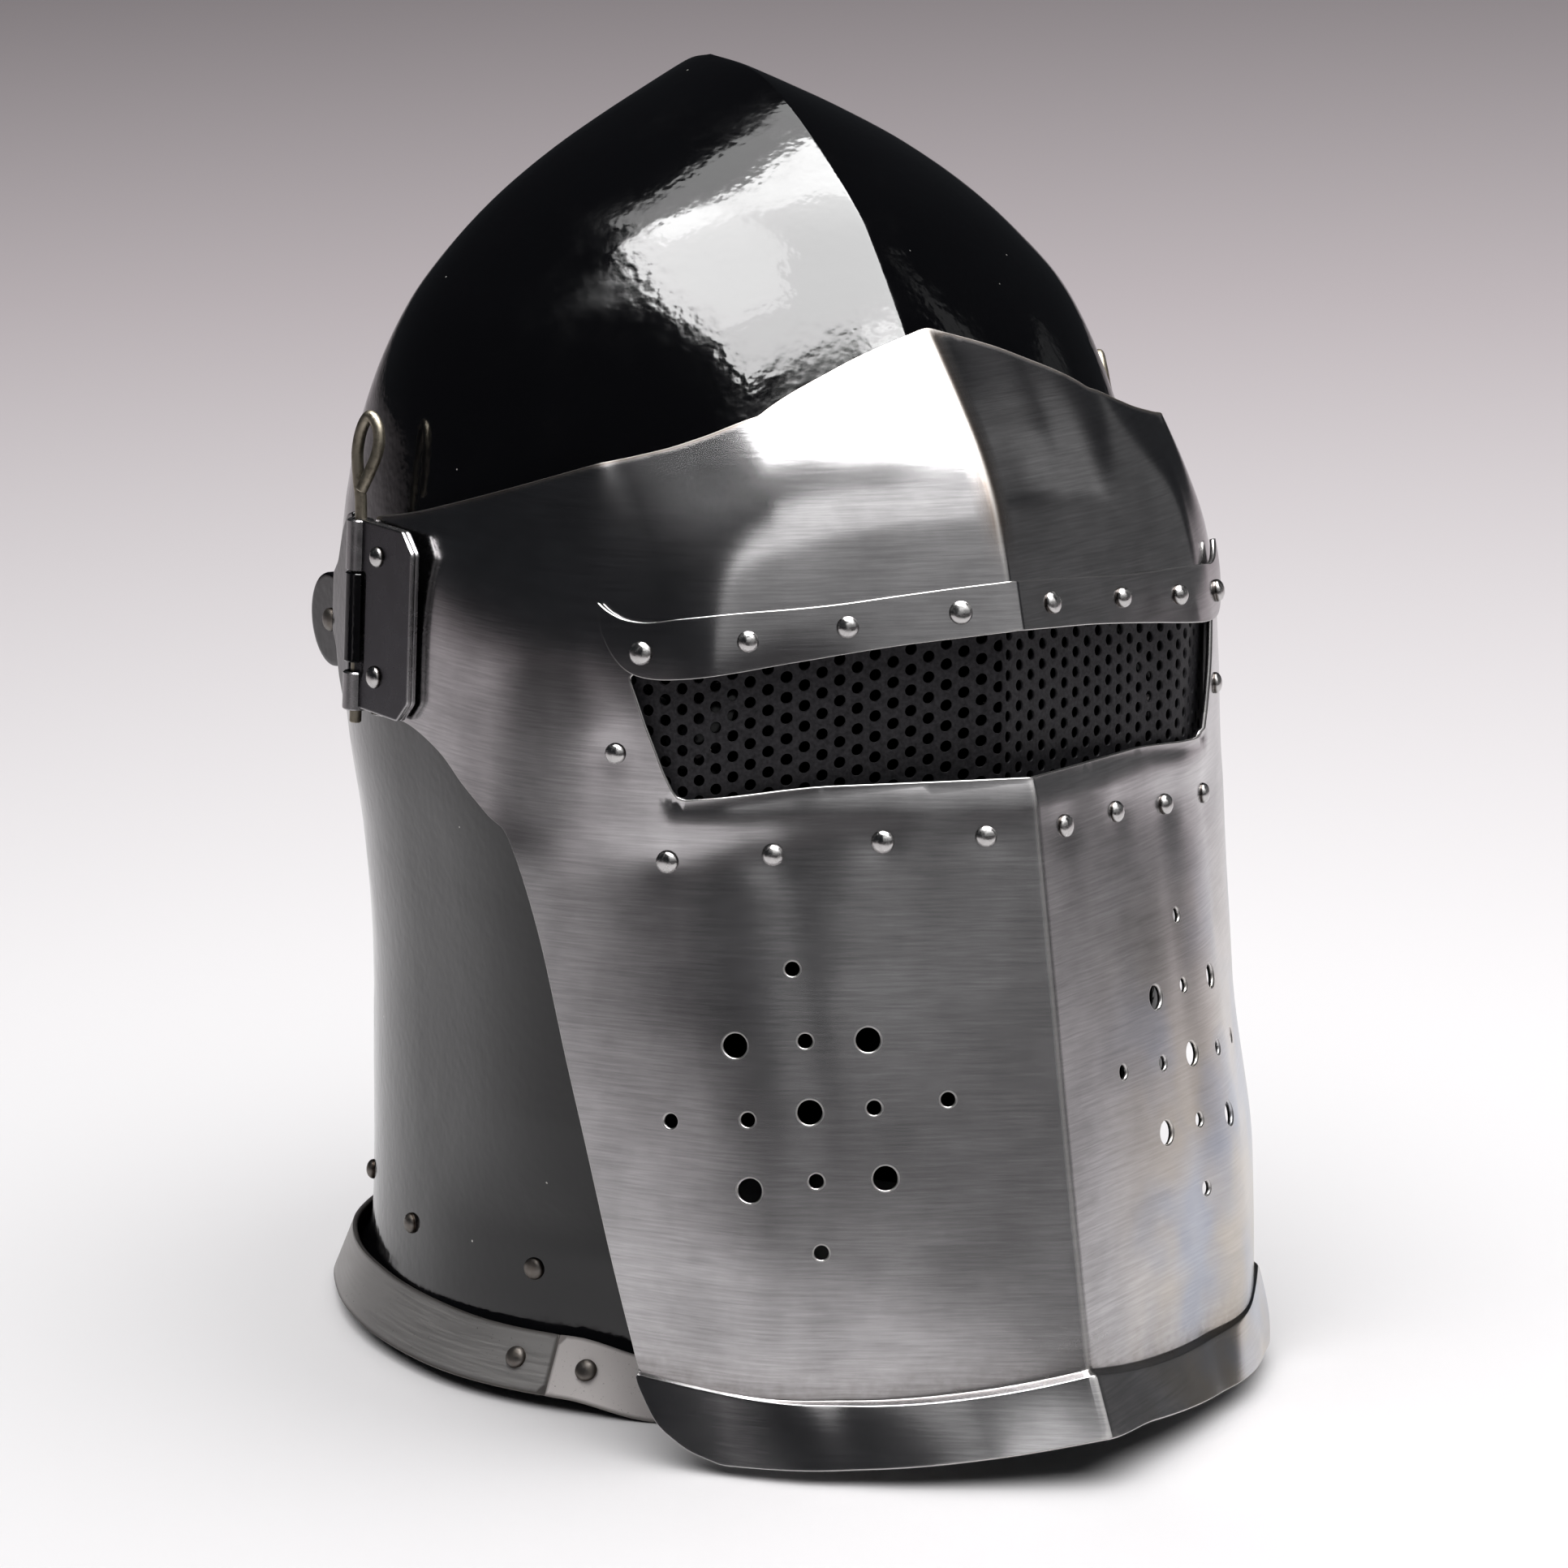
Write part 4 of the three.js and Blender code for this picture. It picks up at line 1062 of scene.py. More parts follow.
def dull_rivet_steel():
    """Peened steel rivets left as struck."""
    # The eye sees soft grey domes with a warm stain and no sharp glint.
    made, tree, place = new_material("dull_rivet_steel")
    stain = add_node(
        tree, "TexNoise", {"Vector": place, "Scale": 1 / 1.8, "Detail": 4.0, "Roughness": 0.6},
    )
    foot = add_node(tree, "Attribute", out="Fac", attribute_name="edge_mm")
    dirt = add_node(
        tree, "MapRange",
        {"Value": foot, "From Min": 0.1, "From Max": 0.7, "To Min": 0.9, "To Max": 0.0},
    )
    grey = add_node(
        tree, "Mix", {"Factor": stain, "A": colour_of("dull"), "B": opaque("#6f665c")},
        **COLOUR_MIX,
    )
    tint = add_node(tree, "Mix", {"Factor": dirt, "A": grey, "B": colour_of("grime")}, **COLOUR_MIX)
    rough = add_node(
        tree, "MapRange",
        {"Value": stain, "From Min": 0.3, "From Max": 0.7, "To Min": 0.36, "To Max": 0.55},
    )
    bump = add_node(tree, "Bump", {"Height": stain, "Strength": 1.0, "Distance": 0.05 * MM})
    return surfaced(made, tree, {
        "Base Color": tint, "Metallic": 1.0, "Roughness": rough, "Normal": bump,
    })


def plain_strip_steel():
    """Cold-rolled steel strip, bent round the rim and left bare."""
    # The eye sees an even soft grey with faint rolling lines, dark specks, brown dirty edges and a dark brown back,
    # which is painted shade with dirt in the gap against the skull.
    made, tree, place = new_material("plain_strip_steel")
    along = add_node(
        tree, "VectorMath", {0: place, 1: (1 / 20, 1 / 20, 1 / 0.6)}, operation="MULTIPLY",
    )
    lines = add_node(tree, "TexNoise", {"Vector": along, "Scale": 1.0, "Detail": 3.0})
    speck = add_node(
        tree, "TexNoise", {"Vector": place, "Scale": 1 / 1.1, "Detail": 3.0, "Roughness": 0.7},
    )
    speck = add_node(
        tree, "MapRange", {"Value": speck, "From Min": 0.66, "From Max": 0.74, "To Max": 0.8},
    )
    edge = add_node(tree, "Attribute", out="Fac", attribute_name="edge_mm")
    seam = add_node(
        tree, "MapRange",
        {"Value": edge, "From Min": 0.0, "From Max": 0.9, "To Min": 0.7, "To Max": 0.0},
    )
    dirt = add_node(tree, "Math", {0: speck, 1: seam}, operation="MAXIMUM")
    # The whole back takes the grime colour: painted shade with dirt in the gap between strip and skull
    back = add_node(tree, "Attribute", out="Fac", attribute_name="inside")
    dirt = add_node(tree, "Math", {0: dirt, 1: back}, operation="MAXIMUM")
    tint = add_node(
        tree, "Mix", {"Factor": dirt, "A": colour_of("rim"), "B": colour_of("grime")}, **COLOUR_MIX,
    )
    rough = add_node(
        tree, "MapRange",
        {"Value": lines, "From Min": 0.3, "From Max": 0.7, "To Min": 0.42, "To Max": 0.55},
    )
    bump = add_node(tree, "Bump", {"Height": lines, "Strength": 1.0, "Distance": 0.015 * MM})
    return surfaced(made, tree, {
        "Base Color": tint, "Metallic": 0.85, "Roughness": rough, "Normal": bump,
    })


def oiled_hinge_steel():
    """Hinge steel, dark from oil and handling."""
    # The eye sees a dark soft sheen with brighter edges and knuckles: a painted highlight with wear.
    made, tree, place = new_material("oiled_hinge_steel")
    film = add_node(
        tree, "TexNoise", {"Vector": place, "Scale": 1 / 6, "Detail": 5.0, "Roughness": 0.6},
    )
    shade = add_node(
        tree, "MapRange",
        {"Value": film, "From Min": 0.3, "From Max": 0.7, "To Min": 0.8, "To Max": 1.15},
    )
    dark = add_node(
        tree, "VectorMath", {0: colour_of("hinge")[:3], "Scale": shade}, operation="SCALE",
    )
    # Paler towards the edges and on the knuckles: painted highlight with wear
    edge = add_node(tree, "Attribute", out="Fac", attribute_name="edge_mm")
    sheen_and_wear_mix = add_node(
        tree, "MapRange",
        {"Value": edge, "From Min": 0.1, "From Max": 0.6, "To Min": 0.8, "To Max": 0.0},
    )
    tint = add_node(tree, "Mix", {"Factor": sheen_and_wear_mix, "A": dark, "B": colour_of("steel")}, **COLOUR_MIX)
    rough = add_node(
        tree, "MapRange",
        {"Value": film, "From Min": 0.3, "From Max": 0.7, "To Min": 0.2, "To Max": 0.32},
    )
    return surfaced(made, tree, {"Base Color": tint, "Metallic": 1.0, "Roughness": rough})


def zinc_plated_strip():
    """Zinc-plated steel strip, dulled by handling."""
    # The eye sees a pale matt grey with dark specks of dirt, and a dark brown back: painted shade with dirt in the gap
    # against the skull.
    made, tree, place = new_material("zinc_plated_strip")
    speck = add_node(
        tree, "TexNoise", {"Vector": place, "Scale": 1 / 0.9, "Detail": 3.0, "Roughness": 0.7},
    )
    speck = add_node(
        tree, "MapRange", {"Value": speck, "From Min": 0.64, "From Max": 0.74, "To Max": 0.8},
    )
    edge = add_node(tree, "Attribute", out="Fac", attribute_name="edge_mm")
    seam = add_node(
        tree, "MapRange",
        {"Value": edge, "From Min": 0.0, "From Max": 0.7, "To Min": 0.6, "To Max": 0.0},
    )
    dirt = add_node(tree, "Math", {0: speck, 1: seam}, operation="MAXIMUM")
    # The whole back takes the grime colour: painted shade with dirt in the gap between strip and skull
    back = add_node(tree, "Attribute", out="Fac", attribute_name="inside")
    dirt = add_node(tree, "Math", {0: dirt, 1: back}, operation="MAXIMUM")
    tint = add_node(
        tree, "Mix", {"Factor": dirt, "A": colour_of("zinc"), "B": colour_of("grime")},
        **COLOUR_MIX,
    )
    return surfaced(made, tree, {"Base Color": tint, "Metallic": 0.45, "Roughness": 0.5})


def satin_black_paint():
    """Perforated steel sheet with one coat of satin black paint."""
    # The eye sees a soft dark sheet whose hole rims are paler grey: a painted highlight with rubbed paint.
    made, tree, place = new_material("satin_black_paint")
    grain = add_node(tree, "TexNoise", {"Vector": place, "Scale": 1 / 0.9, "Detail": 3.0})
    edge = add_node(tree, "Attribute", out="Fac", attribute_name="edge_mm")
    # Paler grey at the hole rims and edges: painted highlight with rubbed paint
    sheen_and_rub = add_node(
        tree, "MapRange",
        {"Value": edge, "From Min": 0.05, "From Max": 0.35, "To Min": 0.3, "To Max": 0.0},
    )
    sheen_and_wear_mix = add_node(tree, "Math", {0: sheen_and_rub, 1: grain}, operation="MULTIPLY")
    tint = add_node(
        tree, "Mix", {"Factor": sheen_and_wear_mix, "A": colour_of("sight"), "B": opaque("#77757a")},
        **COLOUR_MIX,
    )
    bump = add_node(tree, "Bump", {"Height": grain, "Strength": 1.0, "Distance": 0.02 * MM})
    return surfaced(made, tree, {
        "Base Color": tint, "Roughness": 0.42, "Specular IOR Level": 0.09, "Normal": bump,
    })


def drawn_wire_steel():
    """Bare drawn steel wire, dulled by handling."""
    # The eye sees a warm grey with faint lengthwise die lines and a few brown spots.
    made, tree, place = new_material("drawn_wire_steel")
    along = add_node(
        tree, "VectorMath", {0: place, 1: (1 / 0.5, 1 / 0.5, 1 / 9)}, operation="MULTIPLY",
    )
    die = add_node(tree, "TexNoise", {"Vector": along, "Scale": 1.0, "Detail": 3.0})
    spot = add_node(
        tree, "TexNoise", {"Vector": place, "Scale": 1 / 2.2, "Detail": 4.0, "Roughness": 0.65},
    )
    spot = add_node(
        tree, "MapRange", {"Value": spot, "From Min": 0.5, "From Max": 0.72, "To Max": 0.7},
    )
    tint = add_node(
        tree, "Mix", {"Factor": spot, "A": colour_of("wire"), "B": opaque("#4d4234")}, **COLOUR_MIX,
    )
    rough = add_node(
        tree, "MapRange",
        {"Value": die, "From Min": 0.3, "From Max": 0.7, "To Min": 0.34, "To Max": 0.5},
    )
    bump = add_node(tree, "Bump", {"Height": die, "Strength": 1.0, "Distance": 0.03 * MM})
    return surfaced(made, tree, {
        "Base Color": tint, "Metallic": 1.0, "Roughness": rough, "Normal": bump,
    })


# Painted pool of light on the floor: how the paper's colour darkens with the distance from the helmet
# in metres, its lean towards the right, and the faint pink cast of the shade that comes in between two distances
FLOOR_PAINTED_LIGHT = {
    "rate": 0.42, "power": 1.45, "lean": (0.87, -0.49, 0.0), "span": 2.5, "change": 0.35,
    "cast": "#fff6f9", "cast_from": 0.3, "cast_to": 2.0,
}


def studio_paper():
    """A roll of pale matt paper."""
    # The eye sees a clean pale sheet that falls into grey away from the light; this falloff and its pink cast are
    # painted into the paper's colour, a painted pool of light.
    made, tree, place = new_material("studio_paper")
    metres = add_node(tree, "VectorMath", {0: place, "Scale": MM}, operation="SCALE")
    run = add_node(tree, "VectorMath", {0: metres}, out="Value", operation="LENGTH")
    fall = add_node(tree, "Math", {0: run, 1: FLOOR_PAINTED_LIGHT["power"]}, operation="POWER")
    fall = add_node(
        tree, "Math", {0: fall, 1: FLOOR_PAINTED_LIGHT["rate"], 2: 1.0}, operation="MULTIPLY_ADD",
    )
    lean = add_node(
        tree, "VectorMath", {0: metres, 1: FLOOR_PAINTED_LIGHT["lean"]},
        out="Value", operation="DOT_PRODUCT",
    )
    lean = add_node(tree, "MapRange", {
        "Value": lean, "From Min": -FLOOR_PAINTED_LIGHT["span"], "From Max": FLOOR_PAINTED_LIGHT["span"],
        "To Min": 1 - FLOOR_PAINTED_LIGHT["change"], "To Max": 1 + FLOOR_PAINTED_LIGHT["change"],
    })
    shade = add_node(tree, "Math", {0: lean, 1: fall}, operation="DIVIDE")
    tint = add_node(
        tree, "VectorMath", {0: colour_of("floor")[:3], "Scale": shade}, operation="SCALE",
    )
    far = add_node(tree, "MapRange", {
        "Value": run, "From Min": FLOOR_PAINTED_LIGHT["cast_from"], "From Max": FLOOR_PAINTED_LIGHT["cast_to"],
    })
    tint = add_node(
        tree, "Mix", {"Factor": far, "A": tint, "B": opaque(FLOOR_PAINTED_LIGHT["cast"])},
        **COLOUR_MIX, blend_type="MULTIPLY",
    )
    return surfaced(made, tree, {"Base Color": tint, "Roughness": 0.9, "Specular IOR Level": 0.1})


def black_card():
    """Matt black card."""
    # The eye sees it only as darkness in the steel.
    made, tree, _ = new_material("black_card")
    return surfaced(made, tree, {"Base Color": opaque("#0a0a0b"), "Roughness": 0.9})


def material(make):
    """The material that a function makes, made once."""
    return bpy.data.materials.get(make.__name__) or make()


# Pieces
def sizes():
    """The size properties in millimetres."""
    group = bpy.context.scene.barbute_sizes
    return {name: getattr(group, name) / MM for name in BarbuteSizes.__annotations__}


def sided(names):
    """Names of CAD nodes on both sides."""
    return [f"{name}_{side}" for name in names for side, _ in SIDES]


class BarbuteOperator:
    """What the operators share."""

    bl_options = {"REGISTER", "UNDO"}

    def execute(self, context):
        self.build(sizes())
        return {"FINISHED"}


class BARBUTE_OT_skull(BarbuteOperator, bpy.types.Operator):
    """Builds the black skull with its keel, flared rim and face opening"""

    bl_idname = "barbute.skull"
    bl_label = "Skull"

    # Columns on each side, drawn together towards the front and back keels
    half_columns = 100
    gathered = 0.8
    # Rows below the arch of the face opening, over the arch, and above it
    low_rows = 46
    arch_rows = 24
    top_rows = 64
    # Height of the edge above the floor, and how far normals keep below the crown
    foot_clear = 0.4
    crown_clear = 0.05
    bulge = 0.25

    def rows(self):
        """Row numbers from the rim to the crown, closer together at the top of the face opening."""
        sill, top = (FACE_OPENING[name] for name in ("sill", "top"))
        low = np.linspace(self.foot_clear, sill, self.low_rows, endpoint=False)
        arch = sill + (top - sill) * np.sin(np.linspace(0, math.pi / 2, self.arch_rows))
        fine = np.linspace(0, SKULL.last, FINE)
        heights = SKULL.at(fine)["z"]
        below = np.interp(np.concatenate([low, arch]), heights, fine)
        return np.concatenate([below, np.linspace(below[-1], SKULL.last, self.top_rows)[1:]])

    def opening(self, row):
        """Half-angle of the face opening at each row, in degrees."""
        r = SKULL.at(row)
        f = FACE_OPENING
        up = (r["z"] - f["start"]) / (f["sill"] - f["start"])
        straight = f["low"] + (f["wide"] - f["low"]) * up
        share = np.clip((r["z"] - f["sill"]) / (f["top"] - f["sill"]), 0, 1)
        half = np.where(r["z"] < f["sill"], straight, f["wide"] * np.sqrt(1 - share * share))
        across = np.clip(half / np.maximum(r["wide"], 1), 0, 1)
        return np.degrees(np.arcsin(across ** (1 + fullness(r["z"]))))

    def build(self, size):
        rows = self.rows()
        t = np.linspace(0, 1, self.half_columns + 1)
        half = 180 * (t - self.gathered * np.sin(2 * math.pi * t) / (2 * math.pi))
        columns = np.concatenate([half, 360 - half[-2::-1]])
        gap = np.round(self.opening(rows), 6)
        angles = gap[:, None] + columns[None, :] / 360 * (360 - 2 * gap[:, None])
        at_row = np.broadcast_to(rows[:, None], angles.shape)
        numbers = np.arange(angles.size).reshape(angles.shape)
        numbers[gap == 0, -1] = numbers[gap == 0, 0]
        numbers[-1] = numbers[-1, 0]
        faces = []
        for r in range(len(rows) - 1):
            for c in range(len(columns) - 1):
                quad = [numbers[r, c], numbers[r, c + 1], numbers[r + 1, c + 1], numbers[r + 1, c]]
                faces.append(list(dict.fromkeys(int(i) for i in quad)))
        points = skull_point(angles.ravel(), at_row.ravel())
        below = np.minimum(at_row.ravel(), SKULL.last - self.crown_clear)
        normals = skull_normal(angles.ravel(), below)
        normals[numbers[-1, 0]] = (0, 0, 1)
        used = np.unique(np.concatenate(faces))
        renumber = np.zeros(len(points), int)
        renumber[used] = np.arange(len(used))
        faces = [[int(renumber[i]) for i in face] for face in faces]
        shell = plate(points[used], normals[used], faces, size["plate"], self.bulge)
        piece(
            "skull_shell", *shell[:2], material(gloss_black_enamel), "helmet", "black_enamel",
            ["skull"], *shell[2:],
        )


# Low on the skull: the row where the flare ends, and the rows that are searched
NECK_ROW = 3.0
LOW_ROWS = np.linspace(0, 8, 401)


def skull_row(angle, z):
    """Row number of a height low on the skull, at a ring angle."""
    return np.interp(z, skull_point(np.full_like(LOW_ROWS, angle), LOW_ROWS)[:, 2], LOW_ROWS)


def rim_section(angles):
    """Lower and upper inner edge points of the rim strip and its outward directions."""
    low = skull_point(angles, np.zeros_like(angles))
    head = low[:, 2] + RIM["tall"]
    rows = np.array([skull_row(angle, z) for angle, z in zip(angles, head)])
    high = skull_point(angles, rows)
    outward = unit(skull_normal(angles, np.full_like(angles, NECK_ROW)) * (1, 1, 0))
    stand_off = RIM["head"] + RIM["gape"] * smooth(*RIM["gape_turns"], ring_turn(angles))
    high = high + outward * stand_off[:, None]
    high[:, 2] = head
    return low + outward * RIM["foot"], high, outward


class BARBUTE_OT_rim(BarbuteOperator, bpy.types.Operator):
    """Builds the steel strips round the lower edge"""

    bl_idname = "barbute.rim"
    bl_label = "Rim strips"

    # Mesh: rows up the strip, and degrees from column to column
    levels = 7
    column_turn = 1.2
    # Height of the edge above the skull's, and degrees between two strips
    foot_clear = 0.9
    seam = 0.3
    wave = {"longest": 60, "height": 0.25}
    bulge = 0.3

    def strip(self, name, start, end, make, node, size, seed):
        count = int(abs(end - start) / self.column_turn) + 2
        angles = np.linspace(start, end, count)
        low, high, outward = rim_section(angles)
        shares = np.linspace(self.foot_clear / RIM["tall"], 1, self.levels)
        outer = [low + (high - low) * share + outward * size["rim"] for share in shares]
        points = np.concatenate(outer)
        points += np.tile(outward, (self.levels, 1)) * waves(points, seed, **self.wave)[:, None]
        grid = points.reshape(self.levels, count, 3)
        normals = unit(np.cross(np.gradient(grid, axis=1), np.gradient(grid, axis=0)))
        faces = grid_faces(self.levels, count)
        band = plate(points, normals.reshape(-1, 3), faces, size["rim"], self.bulge)
        piece(name, *band[:2], material(make), "helmet", "brushed_steel", [node], *band[2:])

    def build(self, size):
        rear = (RIM_SEAM, 360 - RIM_SEAM)
        left = (RIM_FRONT, RIM_SEAM - self.seam)
        right = (360 + self.seam - RIM_SEAM, 360 - RIM_FRONT)
        self.strip("rear_rim_band", *rear, plain_strip_steel, "rear_rim", size, seed=3)
        for name, ends, node, seed in (
            ("front_rim_band_left", left, "front_rim_left", 4),
            ("front_rim_band_right", right, "front_rim_right", 5),
        ):
            self.strip(name, *ends, zinc_plated_strip, node, size, seed)


class BARBUTE_OT_visor(BarbuteOperator, bpy.types.Operator):
    """Builds the creased visor plate with its sight slot, breaths and turned flange"""

    bl_idname = "barbute.visor"
    bl_label = "Visor"

    # Millimetres a station and a row, about, where the plate is laid flat
    flat_scale = (25.0, 14.0)
    # Mesh: distance of points along edges, and how many mesh steps the others keep from them
    rim_step = 1.3
    clear = 0.45
    # Points of the outline on each stretch, and how far off the plate one may lie
    stretch = {"rear": 140, "hinge": 30, "top": 90, "front": 50, "bottom": 80}
    miss = 0.05
    brow_row = 10
    halvings = 40
    # The flange's lower edge is cut back on the left
    left_trim = {"rows": 0.15, "stations": (0, 0.8)}
    slot_corner = 1.5
    slot_steps = 11
    breath_points = 28
    breath_step = 1e-3
    bulge = 0.3
    # Painted highlight along the ridge, given as a distance from an edge, and how fast dirt thins from the bend
    ridge_wear = 0.3
    least_wear = 0.02
    bend_row = 2.0
    dirt_above = 6.0
    dirt_below = 1.6
    # Stations round the ridge in widths of its round, then spans of stations and their length in mm
    ridge_stations = (0.3, 0.6, 1.0, 1.5)
    spans = ((0.18, 3, 26), (3, 4, 52), (4, 5, 66))
    # Rows of the flange: listed on its flats, and evenly through its two bends
    flange_rows = (
        0.16, 0.32, 0.48, 0.64, *np.arange(0.78, 1.2, 0.04), 1.3, 1.5, 1.7,
        *np.arange(1.8, 2.2, 0.04),
    )
    above_flange = 4

    def outline(self):
        """The visor's edge as a closed loop of stations and rows."""
        count = self.stretch
        rear = spline(REAR_EDGE.rows, np.linspace(0, REAR_EDGE.last, count["rear"]))
        at_rear = locate(rear, [1, 2])
        miss = np.linalg.norm(visor_point(*at_rear.T)[:, 1:] - rear, axis=1)
        at_rear = at_rear[miss < self.miss][::-1]
        top = spline(TOP_EDGE.rows, np.linspace(0, TOP_EDGE.last, count["top"]))
        at_top = locate(top, [1, 2])[::-1]
        hinge = np.linspace(REAR_EDGE.rows[0], TOP_EDGE.rows[-1], count["hinge"])[1:-1]
        at_hinge = locate(hinge, [1, 2])
        front = np.linspace(at_top[-1, 0], 0, count["front"])[1:]
        low, high = np.full_like(front, self.brow_row), np.full_like(front, VISOR.last)
        for _ in range(self.halvings):
            middle = (low + high) / 2
            ahead = visor_point(front, middle)[:, 1] < TOP_EDGE.rows[0, 0]
            low, high = np.where(ahead, middle, low), np.where(ahead, high, middle)
        at_front = np.stack([front, low], -1)
        bottom = np.linspace(0, at_rear[0, 0], count["bottom"])[:-1]
        at_bottom = np.stack([bottom, np.zeros_like(bottom)], -1)
        half = np.concatenate([at_bottom, at_rear, at_hinge, at_top, at_front])
        left = half.copy()
        trim = self.left_trim["rows"] * smooth(*self.left_trim["stations"], left[:, 0])
        left[:, 1] = np.maximum(left[:, 1], trim)
        return np.concatenate([left, (half * (-1, 1))[-2:0:-1]])

    def slot(self):
        """The sight slot's edge as a closed loop of stations and rows."""
        corners = SLOT.rows
        other = (corners * (-1, 1))[-2:0:-1]
        edge = filleted(np.concatenate([corners, other]), self.slot_corner)
        edge = divided(edge, self.slot_steps)
        at = locate(np.abs(edge * (1, 0)) + edge * (0, 1), [0, 2])
        return at * np.stack([np.sign(edge[:, 0]) + (edge[:, 0] == 0), np.ones(len(edge))], -1)

    def breaths(self, sign):
        """Round holes as closed loops of stations and rows, on one side."""
        loops = []
        for row in BREATHS:
            middle = locate([[row["x"], row["z"]]], [0, 2])[0] * (sign, 1)
            step = self.breath_step
            here = visor_point(*middle)
            du = (visor_point(middle[0] + step, middle[1]) - here) / step
            dv = (visor_point(middle[0], middle[1] + step) - here) / step
            across = unit(du)
            upward = unit(dv - across * (dv @ across))
            ring = circle(self.breath_points) * row["bore"] / 2
            v = ring[:, 1] / (dv @ upward)
            u = (ring[:, 0] - v * (dv @ across)) / (du @ across)
            loops.append(middle + np.stack([u, v], -1))
        return loops

    def fill(self, step):
        """Mesh points over the whole plate, close together at the ridge and the flange's bends."""
        half = [0, *np.array(self.ridge_stations) * RIDGE_ROUND]
        for start, end, run in self.spans:
            half += [*np.arange(start, end, step / run)]
        stations = np.concatenate([-np.array(half[:0:-1]), half])
        fine = np.linspace(VISOR.straight, VISOR.last, FINE)
        low = VISOR.rows[VISOR.straight, 0] + self.above_flange
        heights = np.arange(low, VISOR.rows[-1, 0], step)
        rows = np.interp(heights, VISOR.at(fine)["z_ridge"], fine)
        u, v = np.meshgrid(stations, np.concatenate([self.flange_rows, rows]))
        return np.stack([u.ravel(), v.ravel()], -1)

    def dirt(self, points, flat):
        """Dirt on each point of the plate, which gathers in the flange's bend."""
        amount = np.zeros(len(points))
        station, row = flat.T
        bend = visor_point(station, np.full_like(row, self.bend_row))
        away = np.linalg.norm(visor_point(station, row) - bend, axis=1)
        thins = np.where(row > self.bend_row, self.dirt_above, self.dirt_below)
        amount[: len(flat)] = np.exp(-away / thins)
        return amount

    def build(self, size):
        loops = [resampled(self.outline(), visor_point, self.rim_step)]
        loops.append(resampled(self.slot(), visor_point, self.rim_step))
        for _, sign in SIDES:
            loops += self.breaths(sign)
        fill = self.fill(size["skin_step"])
        scale = np.array(self.flat_scale)
        kept = inside(fill * scale, loops[0] * scale)
        for loop in loops[1:]:
            kept &= ~inside(fill * scale, loop * scale)
        fill = clear_of(fill[kept], loops, visor_point, self.clear * size["skin_step"])
        flat, faces = triangulated(loops, fill, scale)
        points = worked_visor(*flat.T)
        normals = normals_of(worked_visor, *flat.T, VISOR_STEP, VISOR.last)
        shell = plate(points, normals, faces, size["plate"], self.bulge)
        marks = shell[3]
        marks["dirt"] = self.dirt(shell[0], flat)
        # The ridge gets a small edge distance, which paints a bright line along it: a painted highlight
        from_ridge = self.ridge_wear * np.abs(shell[0][:, 0]) + self.least_wear
        marks["edge_mm"] = np.minimum(marks["edge_mm"], from_ridge)
        piece(
            "visor_plate", *shell[:2], material(satin_brushed_steel), "visor", "brushed_steel",
            ["visor"], *shell[2:],
        )


class BARBUTE_OT_brow_strip(BarbuteOperator, bpy.types.Operator):
    """Builds the strip riveted along the slot's upper edge"""

    bl_idname = "barbute.brow_strip"
    bl_label = "Brow strip"

    # Mesh: columns on each side, and rows up the strip
    columns = 70
    levels = 9
    wave = {"seed": 11, "longest": 50, "height": 0.1}
    bulge = 0.25

    def build(self, size):
        edges = BROW_STRIP.at(np.linspace(0, BROW_STRIP.last, self.columns))
        x = np.concatenate([-edges["x"][:0:-1], edges["x"]])
        low = np.concatenate([edges["low"][:0:-1], edges["low"]])
        high = np.concatenate([edges["high"][:0:-1], edges["high"]])
        shares = np.linspace(0, 1, self.levels)
        spots = np.concatenate([np.stack([np.abs(x), low + (high - low) * s], -1) for s in shares])
        station, row = locate(spots, [0, 2]).T
        station = station * np.tile(np.sign(x), self.levels)
        normals = visor_normal(station, row)
        points = visor_point(station, row) + normals * (size["strip_seat"] + size["strip"])
        points += normals * waves(points, **self.wave)[:, None]
        faces = grid_faces(self.levels, len(x))
        band = plate(points, normals, faces, size["strip"], self.bulge)
        piece(
            "brow_band", *band[:2], material(satin_brushed_steel), "visor", "brushed_steel",
            ["brow_strip"], *band[2:],
        )


